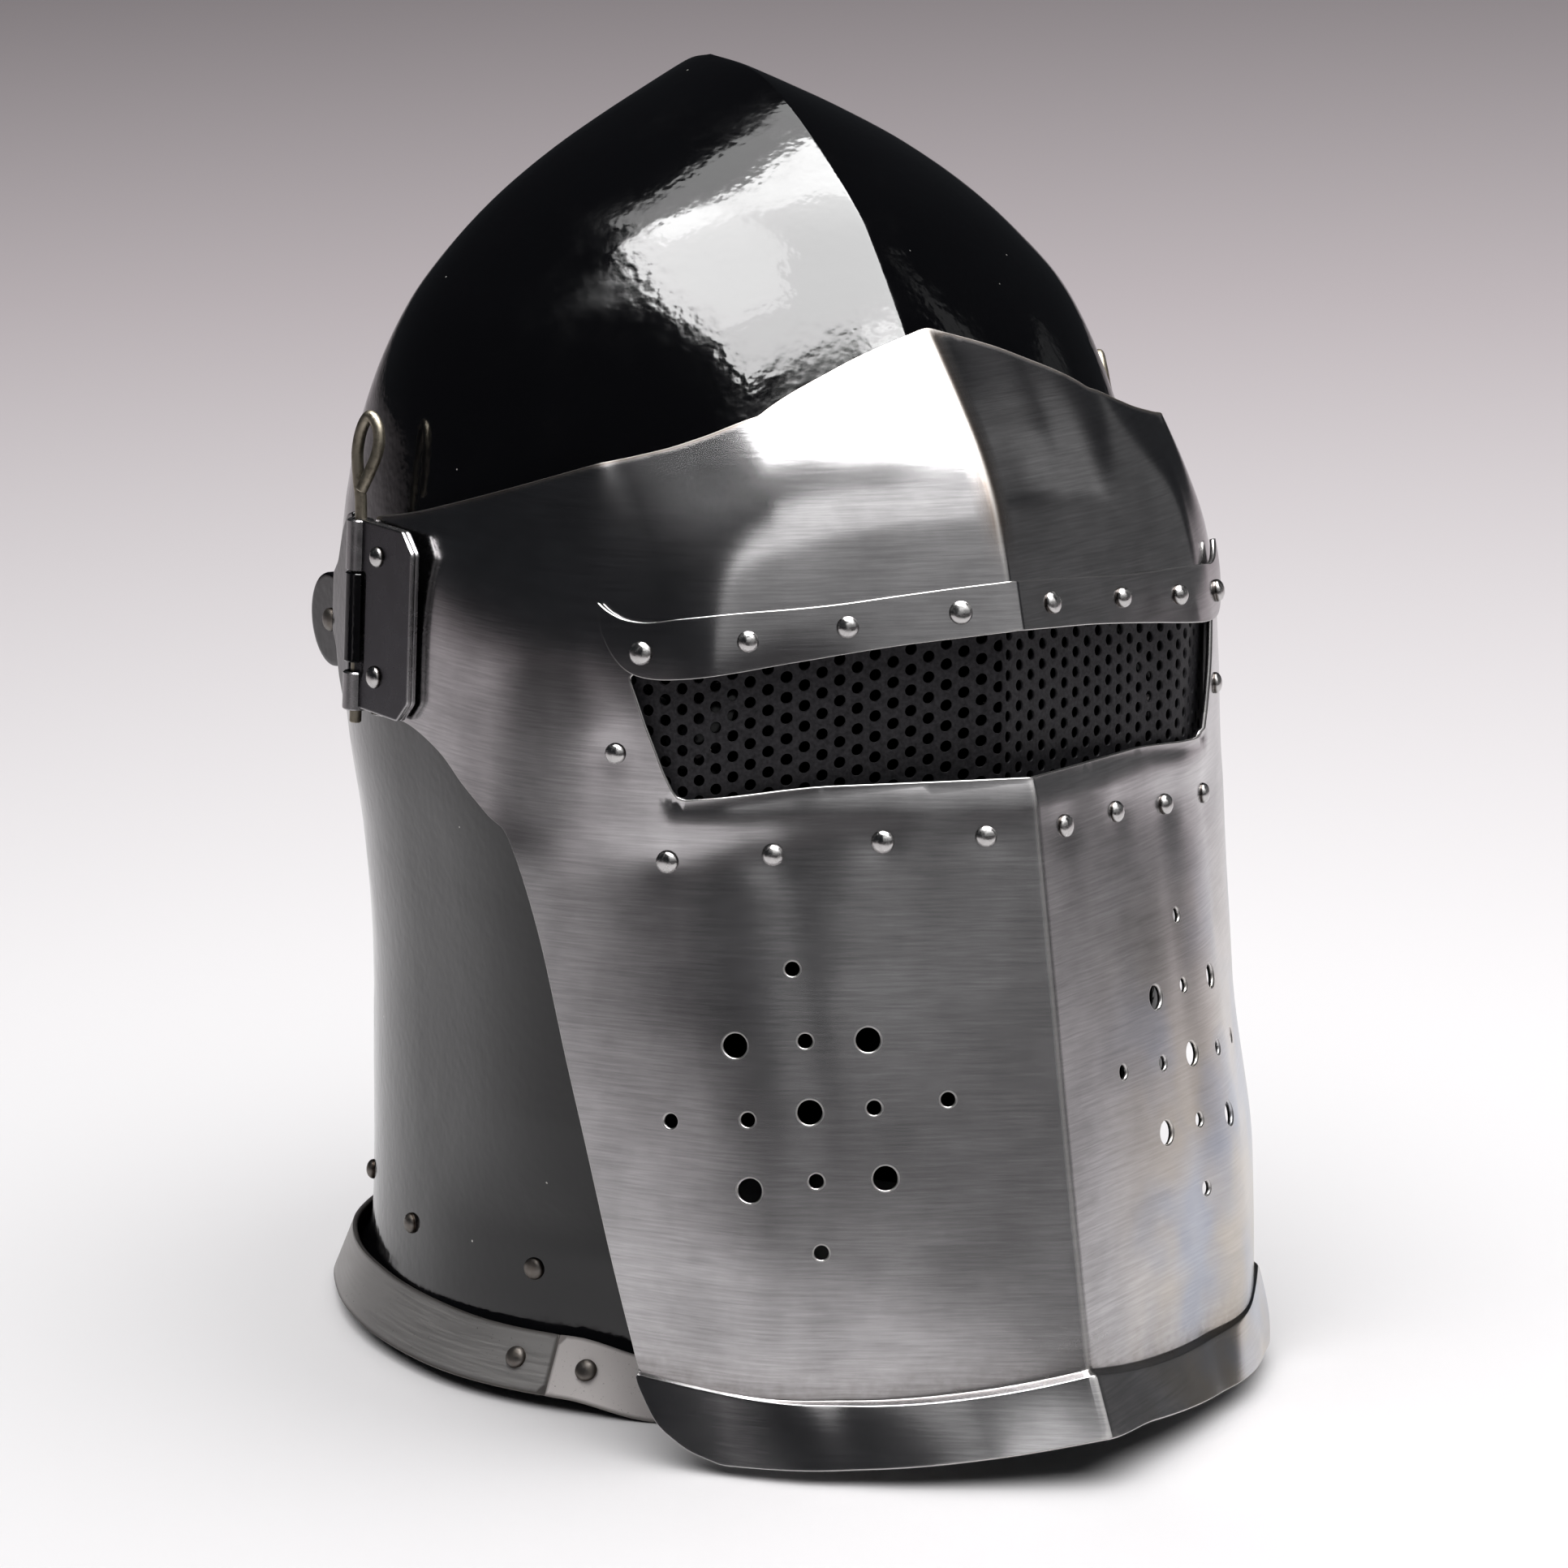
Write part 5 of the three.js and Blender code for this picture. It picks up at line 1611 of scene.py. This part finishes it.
class BARBUTE_OT_sight_plate(BarbuteOperator, bpy.types.Operator):
    """Builds the perforated plate behind the slot"""

    bl_idname = "barbute.sight_plate"
    bl_label = "Sight plate"

    # Samples of the seat behind the slot and of the visor's height, for reading them backwards
    samples = {"seat": 400, "height": 600}
    side_steps = 39
    hole_points = 14
    # Mesh points of the solid lower margin: their distances, and how far they keep from its edges
    margin = {"across": 4, "up": 2.5, "clear": 2}
    step = 0.05
    bulge = 0.08

    def build(self, size):
        stations = np.linspace(0, SIGHT["ends"], self.samples["seat"])
        seat = visor_point(stations, np.full_like(stations, SIGHT["seat"]))
        run = np.concatenate([[0], np.cumsum(np.linalg.norm(np.diff(seat, axis=0), axis=1))])
        fine = np.linspace(VISOR.straight, VISOR.last, self.samples["height"])
        behind = size["plate"] + SIGHT["back"]

        def surface(across, height):
            station = np.interp(np.abs(across), run, stations) * np.sign(across)
            at_seat = np.full_like(station, SIGHT["seat"])
            upright = visor_point(station, at_seat) - visor_normal(station, at_seat) * behind
            drop = VISOR.rows[SIGHT["seat"], 0] - visor_point(station, at_seat)[:, 2]
            upright[:, 2] = height - drop
            order = np.round(station, 3)
            row = np.zeros_like(station)
            for one in np.unique(order):
                here = order == one
                heights = visor_point(np.full_like(fine, one), fine)[:, 2]
                row[here] = np.interp(upright[here, 2], heights, fine)
            seam = visor_point(station, row) - visor_normal(station, row) * behind
            share = 1 - smooth(*SIGHT["forward"], height)
            return upright + (seam - upright) * share[:, None]

        reach = run[-1]
        low, high = SIGHT["low"], SIGHT["high"]
        corners = np.array([(-reach, low), (reach, low), (reach, high), (-reach, high)])
        loops = [divided(corners, self.side_steps)]
        pitch = PERFORATION["pitch"]
        column_step = pitch * math.sqrt(3) / 2
        ring = circle(self.hole_points) * PERFORATION["bore"] / 2
        columns = int(PERFORATION["reach"] / column_step)
        for column in range(-columns, columns):
            shift = pitch / 2 * (column % 2)
            for height in np.arange(PERFORATION["low"] + shift, PERFORATION["high"], pitch):
                loops.append(ring + ((column + 0.5) * column_step, height))
        clear = self.margin["clear"]
        across = np.arange(-reach + clear, reach, self.margin["across"])
        up = np.arange(low + clear, PERFORATION["low"] - clear, self.margin["up"])
        u, v = np.meshgrid(across, up)
        fill = np.stack([u.ravel(), v.ravel()], -1)
        flat, faces = triangulated(loops, fill, np.array([1.0, 1.0]))
        points = surface(*flat.T)
        u, v = flat.T
        du = surface(u + self.step, v) - surface(u - self.step, v)
        dv = surface(u, v + self.step) - surface(u, v - self.step)
        shell = plate(points, unit(np.cross(du, dv)), faces, size["sight"], self.bulge)
        piece(
            "perforated_sight", *shell[:2], material(satin_black_paint), "visor", "sight_paint",
            ["sight_plate"], *shell[2:],
        )


# Degrees up the dome of a head, how deep its foot goes, and the shank's radius in head radii
DOME_TURNS = (0, 8, 18, 30, 43, 56, 68, 80)
HEAD_FOOT = 0.35
SHANK = 0.5
# The peened end: its radius in shank radii, how far it stands out, and its height
PEEN = {"wide": 1.1, "out": 0.5, "tall": 0.3}


def rivet_profile(head, rise, tail):
    """Half outline of a rivet: peened tail, shank, and a domed head standing on height 0."""
    dome = [(head * math.cos(a), rise * math.sin(a)) for a in np.radians(DOME_TURNS)]
    shank = SHANK * head
    peen = [
        (0, -tail - PEEN["out"]), (shank * PEEN["wide"], -tail), (shank, -tail + PEEN["tall"]),
    ]
    return [*peen, (shank, -HEAD_FOOT), (head, -HEAD_FOOT), *dome, (0, rise)]


class BARBUTE_OT_rivets(BarbuteOperator, bpy.types.Operator):
    """Builds the rivets of the visor, the hinges, the neck and the rim"""

    bl_idname = "barbute.rivets"
    bl_label = "Rivets"

    segments = 26
    seat = 0.2
    rim_seat = 0.3
    leaf_seat = 0.1
    # How far tails stand out behind the plates, and how deep those of the pivots and the rim go
    tail = {"plate": 0.4, "seam": 0.5, "neck": 0.8, "leaf": 1}
    depth = {"pivot": 6, "rim": 3.2}
    rim_share = 0.55
    rim_rise = 0.8
    uneven = {"head": 0.05, "rise": 0.12, "lean": 0.03}

    def group(self, name, spots, head, rise, make, body, slot, nodes):
        parts = Parts()
        rng = np.random.default_rng(len(name))
        foot = []
        for place, direction, tail in spots:
            wide = head * (1 + rng.uniform(-self.uneven["head"], self.uneven["head"]))
            tall = rise * (1 + rng.uniform(-self.uneven["rise"], self.uneven["rise"]))
            points, faces = lathe(rivet_profile(wide, tall, tail), self.segments)
            foot.append(np.abs(points[:, 2]))
            lean = unit(np.array(direction) + rng.normal(size=3) * self.uneven["lean"])
            parts.add(standing(points, place, lean), faces)
        marks = {"edge_mm": np.concatenate(foot)}
        piece(name, *parts.placed(), material(make), body, slot, nodes, marks=marks)

    def on_plate(self, table, height, tail):
        """Spots on both sides of the visor at the x and z of a table."""
        found = []
        for _, sign in SIDES:
            points, normals = on_visor(table.rows, height, sign)
            found += [(p, n, tail) for p, n in zip(points, normals)]
        return found

    def build(self, size):
        head, rise = size["rivet_head"], size["rivet_rise"]
        over_strip = size["strip_seat"] + size["strip"] + self.seat
        behind = size["plate"] + self.tail["plate"]
        through = size["plate"] + SIGHT["back"] + size["sight"] + self.tail["seam"]
        dish = self.seat - RIVET_DISH["deep"]
        bright = (polished_rivet_steel, "visor", "polished_steel")
        self.group(
            "brow_rivet_heads", self.on_plate(BROW_RIVETS, over_strip, over_strip + behind),
            head, rise, *bright, sided([f"brow_rivet_{i}" for i in range(1, 5)]),
        )
        self.group(
            "cheek_rivet_heads", self.on_plate(CHEEK_RIVETS, dish, through),
            head, rise, *bright, sided([f"cheek_rivet_{i}" for i in range(1, 5)]),
        )
        self.group(
            "side_rivet_heads", self.on_plate(SIDE_RIVETS, dish, behind),
            head, rise, *bright, sided(["side_rivet_1"]),
        )
        leaf, pivot, neck, rim = [], [], [], []
        through_leaf = 2 * HINGE["layer"] + size["plate"] + self.tail["leaf"]
        for _, sign in SIDES:
            flip = np.array((sign, 1, 1))
            for z in LEAF_RIVETS["z"]:
                spot = np.array([[HINGE["layer"] + self.leaf_seat, LEAF_RIVETS["y"], z]])
                place = moved(spot, hinge_frame())[0]
                out = moved(np.array([[1.0, 0, 0]]), hinge_frame().to_3x3().to_4x4())[0]
                leaf.append((place * flip, out * flip, through_leaf))
            place = np.array((ARM["boss_outer"] + self.seat, PIVOT["y"], PIVOT["z"]))
            pivot.append((place * flip, np.array((sign, 0, 0)), self.depth["pivot"]))
            for turn in NECK_RIVETS["angles"]:
                angle = np.array([turn], float)
                row = np.array([skull_row(turn, NECK_RIVETS["z"])])
                normal = skull_normal(angle, row)[0]
                place = skull_point(angle, row)[0] + normal * self.seat
                neck.append((place * flip, normal * flip, size["plate"] + self.tail["neck"]))
            for turn in RIM_RIVETS.values():
                low, high, outward = (found[0] for found in rim_section(np.array([turn])))
                along = np.array((-outward[1], outward[0], 0))
                normal = unit(np.cross(along, high - low))
                place = low + (high - low) * self.rim_share + outward * size["rim"]
                place = place + normal * self.rim_seat
                rim.append((place * flip, normal * flip, self.depth["rim"]))
        self.group(
            "leaf_rivet_heads", leaf, head, rise, *bright,
            sided(["leaf_rivet_1", "leaf_rivet_2"]),
        )
        dull = (dull_rivet_steel, "helmet")
        self.group(
            "pivot_rivet_heads", pivot, PIVOT["head"], rise, *dull, "polished_steel",
            sided(["pivot_rivet"]),
        )
        self.group(
            "neck_rivet_heads", neck, head, rise, *dull, "dull_steel",
            sided([f"neck_rivet_{i}" for i in range(1, 5)]),
        )
        self.group(
            "rim_rivet_heads", rim, head, rise * self.rim_rise, *dull, "dull_steel",
            sided(["rim_rivet_rear", "rim_rivet_front"]),
        )


def arm_frame():
    """The left hinge's place, its local z along the pin."""
    place = Matrix.Translation((HINGE["x"], HINGE["y"], HINGE["z"]))
    return place @ Matrix.Rotation(-HINGE["tilt"], 4, "Y")


def hinge_frame():
    """The left leaf's place: local x outwards, y backwards, z along the pin."""
    return arm_frame() @ Matrix.Rotation(-HINGE["turn"], 4, "Z")


def upright(points):
    """Flat outline points and their height as local y, z and x."""
    return points[:, [2, 0, 1]]


KNUCKLE_EDGE = 0.35
KNUCKLE_SEGMENTS = 40


def knuckle(ends, size):
    """A rolled tube round the pin between two heights."""
    low, high = ends
    outer, inner, soft = size["barrel"], size["bore"], KNUCKLE_EDGE
    profile = [
        (inner, low + soft), (inner + soft, low), (outer - soft, low), (outer, low + soft),
        (outer, high - soft), (outer - soft, high), (inner + soft, high), (inner, high - soft),
    ]
    return lathe(profile, KNUCKLE_SEGMENTS)


class BARBUTE_OT_hinges(BarbuteOperator, bpy.types.Operator):
    """Builds the hinge leaves and the black pivot arms"""

    bl_idname = "barbute.hinges"
    bl_label = "Hinges"

    # Roundness of edges and of corners seen flat, the gap between a leaf's layers and its middle,
    # and the window's clearance below the arm's knuckle
    edge_round = 0.28
    arm_edge = 0.35
    boss_edge = 0.6
    leaf_corner = 0.8
    arm_corner = 1.2
    layer_gap = 0.04
    window_clear = 2
    # Edge distance given to the knuckles, which paints them paler: painted highlight with wear
    barrel_wear = 0.2
    boss_points = 56

    def leaf(self, size):
        """A leaf of two layers with chamfered corners, folded round the pin in two knuckles."""
        reach, half, layer = HINGE["reach"], HINGE["half"], HINGE["layer"]
        chamfer, window = HINGE["chamfer"], HINGE["window"]
        low, high = KNUCKLES["arm"][0] - self.window_clear, KNUCKLES["top"][0]
        outline = [
            (-reach + chamfer, -half), (0, -half), (0, low), (-window, low), (-window, high),
            (0, high), (0, half), (-reach + chamfer, half), (-reach, half - chamfer),
            (-reach, -half + chamfer),
        ]
        parts = Parts()
        # Distances from the edges, which paint the edges paler: painted highlight with wear
        wear_and_sheen = []
        edge = filleted(outline, self.leaf_corner)
        for bottom, top in ((-layer, -self.layer_gap), (self.layer_gap, layer)):
            points, faces = slab(edge, bottom, top, self.edge_round)
            parts.add(upright(points), faces)
            wear_and_sheen.append(np.repeat(SLAB_INSETS + SLAB_INSETS[::-1], len(edge)) * self.edge_round)
        for ends in (KNUCKLES["top"], KNUCKLES["bottom"]):
            points, faces = knuckle(ends, size)
            parts.add(points, faces)
            wear_and_sheen.append(np.full(len(points), self.barrel_wear))
        return parts, np.concatenate(wear_and_sheen)

    def arm(self, size):
        """The plate behind the hinge, its middle knuckle, and a round boss on the pivot."""
        parts = Parts()
        edge = filleted(ARM_PLATE, self.arm_corner)
        points, faces = slab(edge, -ARM["thick"] / 2, ARM["thick"] / 2, self.arm_edge)
        lie = arm_frame() @ Matrix.Rotation(ARM["slope"], 4, "Z")
        parts.add(moved(upright(points), lie), faces)
        points, faces = knuckle(KNUCKLES["arm"], size)
        parts.add(moved(points, arm_frame()), faces)
        disc = circle(self.boss_points) * PIVOT["boss"] + (PIVOT["y"], PIVOT["z"])
        points, faces = slab(disc, ARM["boss_inner"], ARM["boss_outer"], self.boss_edge)
        parts.add(upright(points), faces)
        return parts

    def build(self, size):
        for side, sign in SIDES:
            leaf, wear_and_sheen = self.leaf(size)
            leaf.points = [moved(np.concatenate(leaf.points), hinge_frame())]
            piece(
                f"hinge_plate_{side}", *leaf.placed(sign), material(oiled_hinge_steel),
                "visor", "brushed_steel", [f"hinge_leaf_{side}"], marks={"edge_mm": wear_and_sheen},
            )
            piece(
                f"pivot_arm_{side}_black", *self.arm(size).placed(sign),
                material(gloss_black_enamel), "visor", "black_enamel", [f"pivot_arm_{side}"],
            )


class BARBUTE_OT_pins(BarbuteOperator, bpy.types.Operator):
    """Builds the bent wire hinge pins"""

    bl_idname = "barbute.pins"
    bl_label = "Hinge pins"

    steps = 150
    segments = 18

    def build(self, size):
        across = np.array((-math.sin(PIN_TURN), -math.cos(PIN_TURN), 0))
        out = np.array((-across[1], across[0], 0))
        u, n, h = spline(PIN_PATH.rows, np.linspace(0, PIN_PATH.last, self.steps)).T
        path = u[:, None] * across + n[:, None] * out + h[:, None] * np.array((0, 0, 1))
        points, faces = sweep(path, size["wire"], self.segments)
        parts = Parts()
        parts.add(moved(points, arm_frame()), faces)
        for side, sign in SIDES:
            piece(
                f"pin_wire_{side}", *parts.placed(sign), material(drawn_wire_steel),
                f"pin_{side}", "pin_wire", [f"hinge_pin_{side}"],
            )


# Stage
CAMERA = {
    "place": (-0.70642, -1.24263, 0.46065), "tilt": 77.429, "turn": -29.5,
    "lens": 131.81, "sensor": 36,
}
FLOOR = {"radius": 9.0, "points": 96}
# A wide even skylight that only matt surfaces see: watts a square metre and its spread
SKYLIGHT = {"power": 3.75, "spread": 100}
# Lights that only gloss sees: place in metres, degrees about x and y from facing down, width and
# depth in metres, watts
SOFTBOXES = {
    "softbox": ((0.1, -0.27, 1.5), (0, 0), (1.14, 0.98), 51.5),
    "fore": ((0.38, -0.93, 1.49), (0, 0), (0.6, 0.38), 12.5),
    "spill": ((0.12, 0.24, 1.52), (0, 0), (1.0, 0.4), 4.6),
    "panel": ((-0.3, -0.15, 1.47), (0, 0), (0.38, 0.7), 2.4),
    "front_high": ((0.67, -2.1, 1.95), (90, 0), (3.88, 1.1), 17.5),
    "front_low": ((0.67, -2.1, 1.07), (90, 0), (3.88, 0.65), 2.8),
    "front_foot": ((0.67, -2.1, 0.58), (90, 0), (3.88, 0.32), 1.2),
    "side": ((1.5, -0.25, 1.0), (55, 0), (0.6, 0.6), 0.3),
    "left_low": ((2.2, -0.3, 0.55), (0, 90), (0.9, 2.0), 0.62),
}
# Dark cards on the floor that only gloss sees: their ends along x and along y, in metres
# They stand in for the unlit floor ahead and to both sides: painted shade seen only in the steel's reflections
CARDS = {
    "ahead": (-2.6, 1.8, -2.6, -0.55), "right": (-3, -1, -0.33, 0.6), "left": (1.8, 6, -1.2, 0),
}
CARD_HEIGHT = 0.004
ROOM_GLOW = 0.025


class BARBUTE_OT_stage(BarbuteOperator, bpy.types.Operator):
    """Sets the floor, lights, dark surround and camera"""

    bl_idname = "barbute.stage"
    bl_label = "Stage"

    def build(self, size):
        scene = bpy.context.scene
        scene.view_settings.view_transform = "Standard"
        scene.view_settings.look = "None"
        mesh = bpy.data.meshes.new("floor")
        ring = [(x, y, 0) for x, y in circle(FLOOR["points"]) * FLOOR["radius"]]
        mesh.from_pydata(ring, [], [list(range(len(ring)))])
        mesh.materials.append(material(studio_paper))
        floor = bpy.data.objects.new("floor", mesh)
        scene.collection.objects.link(floor)
        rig.stage(floor)
        sky = bpy.data.lights.new("skylight", "SUN")
        sky.energy = SKYLIGHT["power"]
        sky.angle = math.radians(SKYLIGHT["spread"])
        self.lamp(scene, sky, gloss=False)
        for name, (place, turn, spread, power) in SOFTBOXES.items():
            box = bpy.data.lights.new(name, "AREA")
            box.shape = "RECTANGLE"
            box.size, box.size_y = spread
            box.energy = power
            lamp = self.lamp(scene, box, gloss=True)
            lamp.location = place
            lamp.rotation_euler = Euler([math.radians(degrees) for degrees in (*turn, 0)])
        self.cards(scene)
        self.surround(scene)
        lens = bpy.data.cameras.new("camera")
        lens.lens = CAMERA["lens"]
        lens.sensor_width = CAMERA["sensor"]
        camera = bpy.data.objects.new("camera", lens)
        camera.location = CAMERA["place"]
        tilt, turn = (math.radians(CAMERA[name]) for name in ("tilt", "turn"))
        camera.rotation_euler = Euler((tilt, 0, turn))
        scene.collection.objects.link(camera)
        scene.camera = camera

    def lamp(self, scene, data, gloss):
        """A light facing down that only gloss or only matt surfaces see."""
        made = bpy.data.objects.new(data.name, data)
        made.visible_camera = False
        made.visible_glossy = gloss
        made.visible_diffuse = not gloss
        scene.collection.objects.link(made)
        return made

    def cards(self, scene):
        """Black cards on the floor that darken what the steel mirrors."""
        corners, faces = [], []
        for left, right, far, near in CARDS.values():
            faces.append([len(corners) + k for k in (0, 1, 3, 2)])
            corners += [(x, y, CARD_HEIGHT) for y in (far, near) for x in (left, right)]
        mesh = bpy.data.meshes.new("cards")
        mesh.from_pydata(corners, [], faces)
        mesh.materials.append(material(black_card))
        cards = bpy.data.objects.new("cards", mesh)
        cards.visible_camera = False
        cards.visible_diffuse = False
        cards.visible_shadow = False
        scene.collection.objects.link(cards)
        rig.stage(cards)

    def surround(self, scene):
        """A dark room."""
        world = bpy.data.worlds.new("studio")
        world.use_nodes = True
        scene.world = world
        tree = world.node_tree
        tree.nodes.clear()
        glow = add_node(tree, "Background", {"Color": opaque("#dfe6f2"), "Strength": ROOM_GLOW})
        add_node(tree, "OutputWorld", {"Surface": glow})


OPERATORS = (
    BARBUTE_OT_stage, BARBUTE_OT_skull, BARBUTE_OT_rim, BARBUTE_OT_visor, BARBUTE_OT_brow_strip,
    BARBUTE_OT_sight_plate, BARBUTE_OT_rivets, BARBUTE_OT_hinges, BARBUTE_OT_pins,
)


class BARBUTE_PT_panel(bpy.types.Panel):
    """Lists the barbute's sizes, finishes and pieces"""

    bl_idname = "BARBUTE_PT_panel"
    bl_label = "Barbute"
    bl_space_type = "VIEW_3D"
    bl_region_type = "UI"
    bl_category = "Barbute"

    def draw(self, context):
        for group in (context.scene.barbute_sizes, context.scene.barbute_finish):
            for name in group.__annotations__:
                self.layout.prop(group, name)
        for operator in OPERATORS:
            self.layout.operator(operator.bl_idname)


CLASSES = (BarbuteSizes, BarbuteFinish, *OPERATORS, BARBUTE_PT_panel)


def register():
    for made in CLASSES:
        bpy.utils.register_class(made)
    bpy.types.Scene.barbute_sizes = bpy.props.PointerProperty(type=BarbuteSizes)
    bpy.types.Scene.barbute_finish = bpy.props.PointerProperty(type=BarbuteFinish)


def unregister():
    del bpy.types.Scene.barbute_finish
    del bpy.types.Scene.barbute_sizes
    for made in reversed(CLASSES):
        bpy.utils.unregister_class(made)


def main():
    register()
    for operator in OPERATORS:
        group, name = operator.bl_idname.split(".")
        getattr(getattr(bpy.ops, group), name)()
    boxes = {"cad": [list(corner) for corner in CAD_BOX], "visual": [list(corner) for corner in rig.bounds()]}
    with open(SIZE_FILE, "w") as file:
        json.dump(boxes, file, indent=1)


if __name__ == "__main__":
    main()
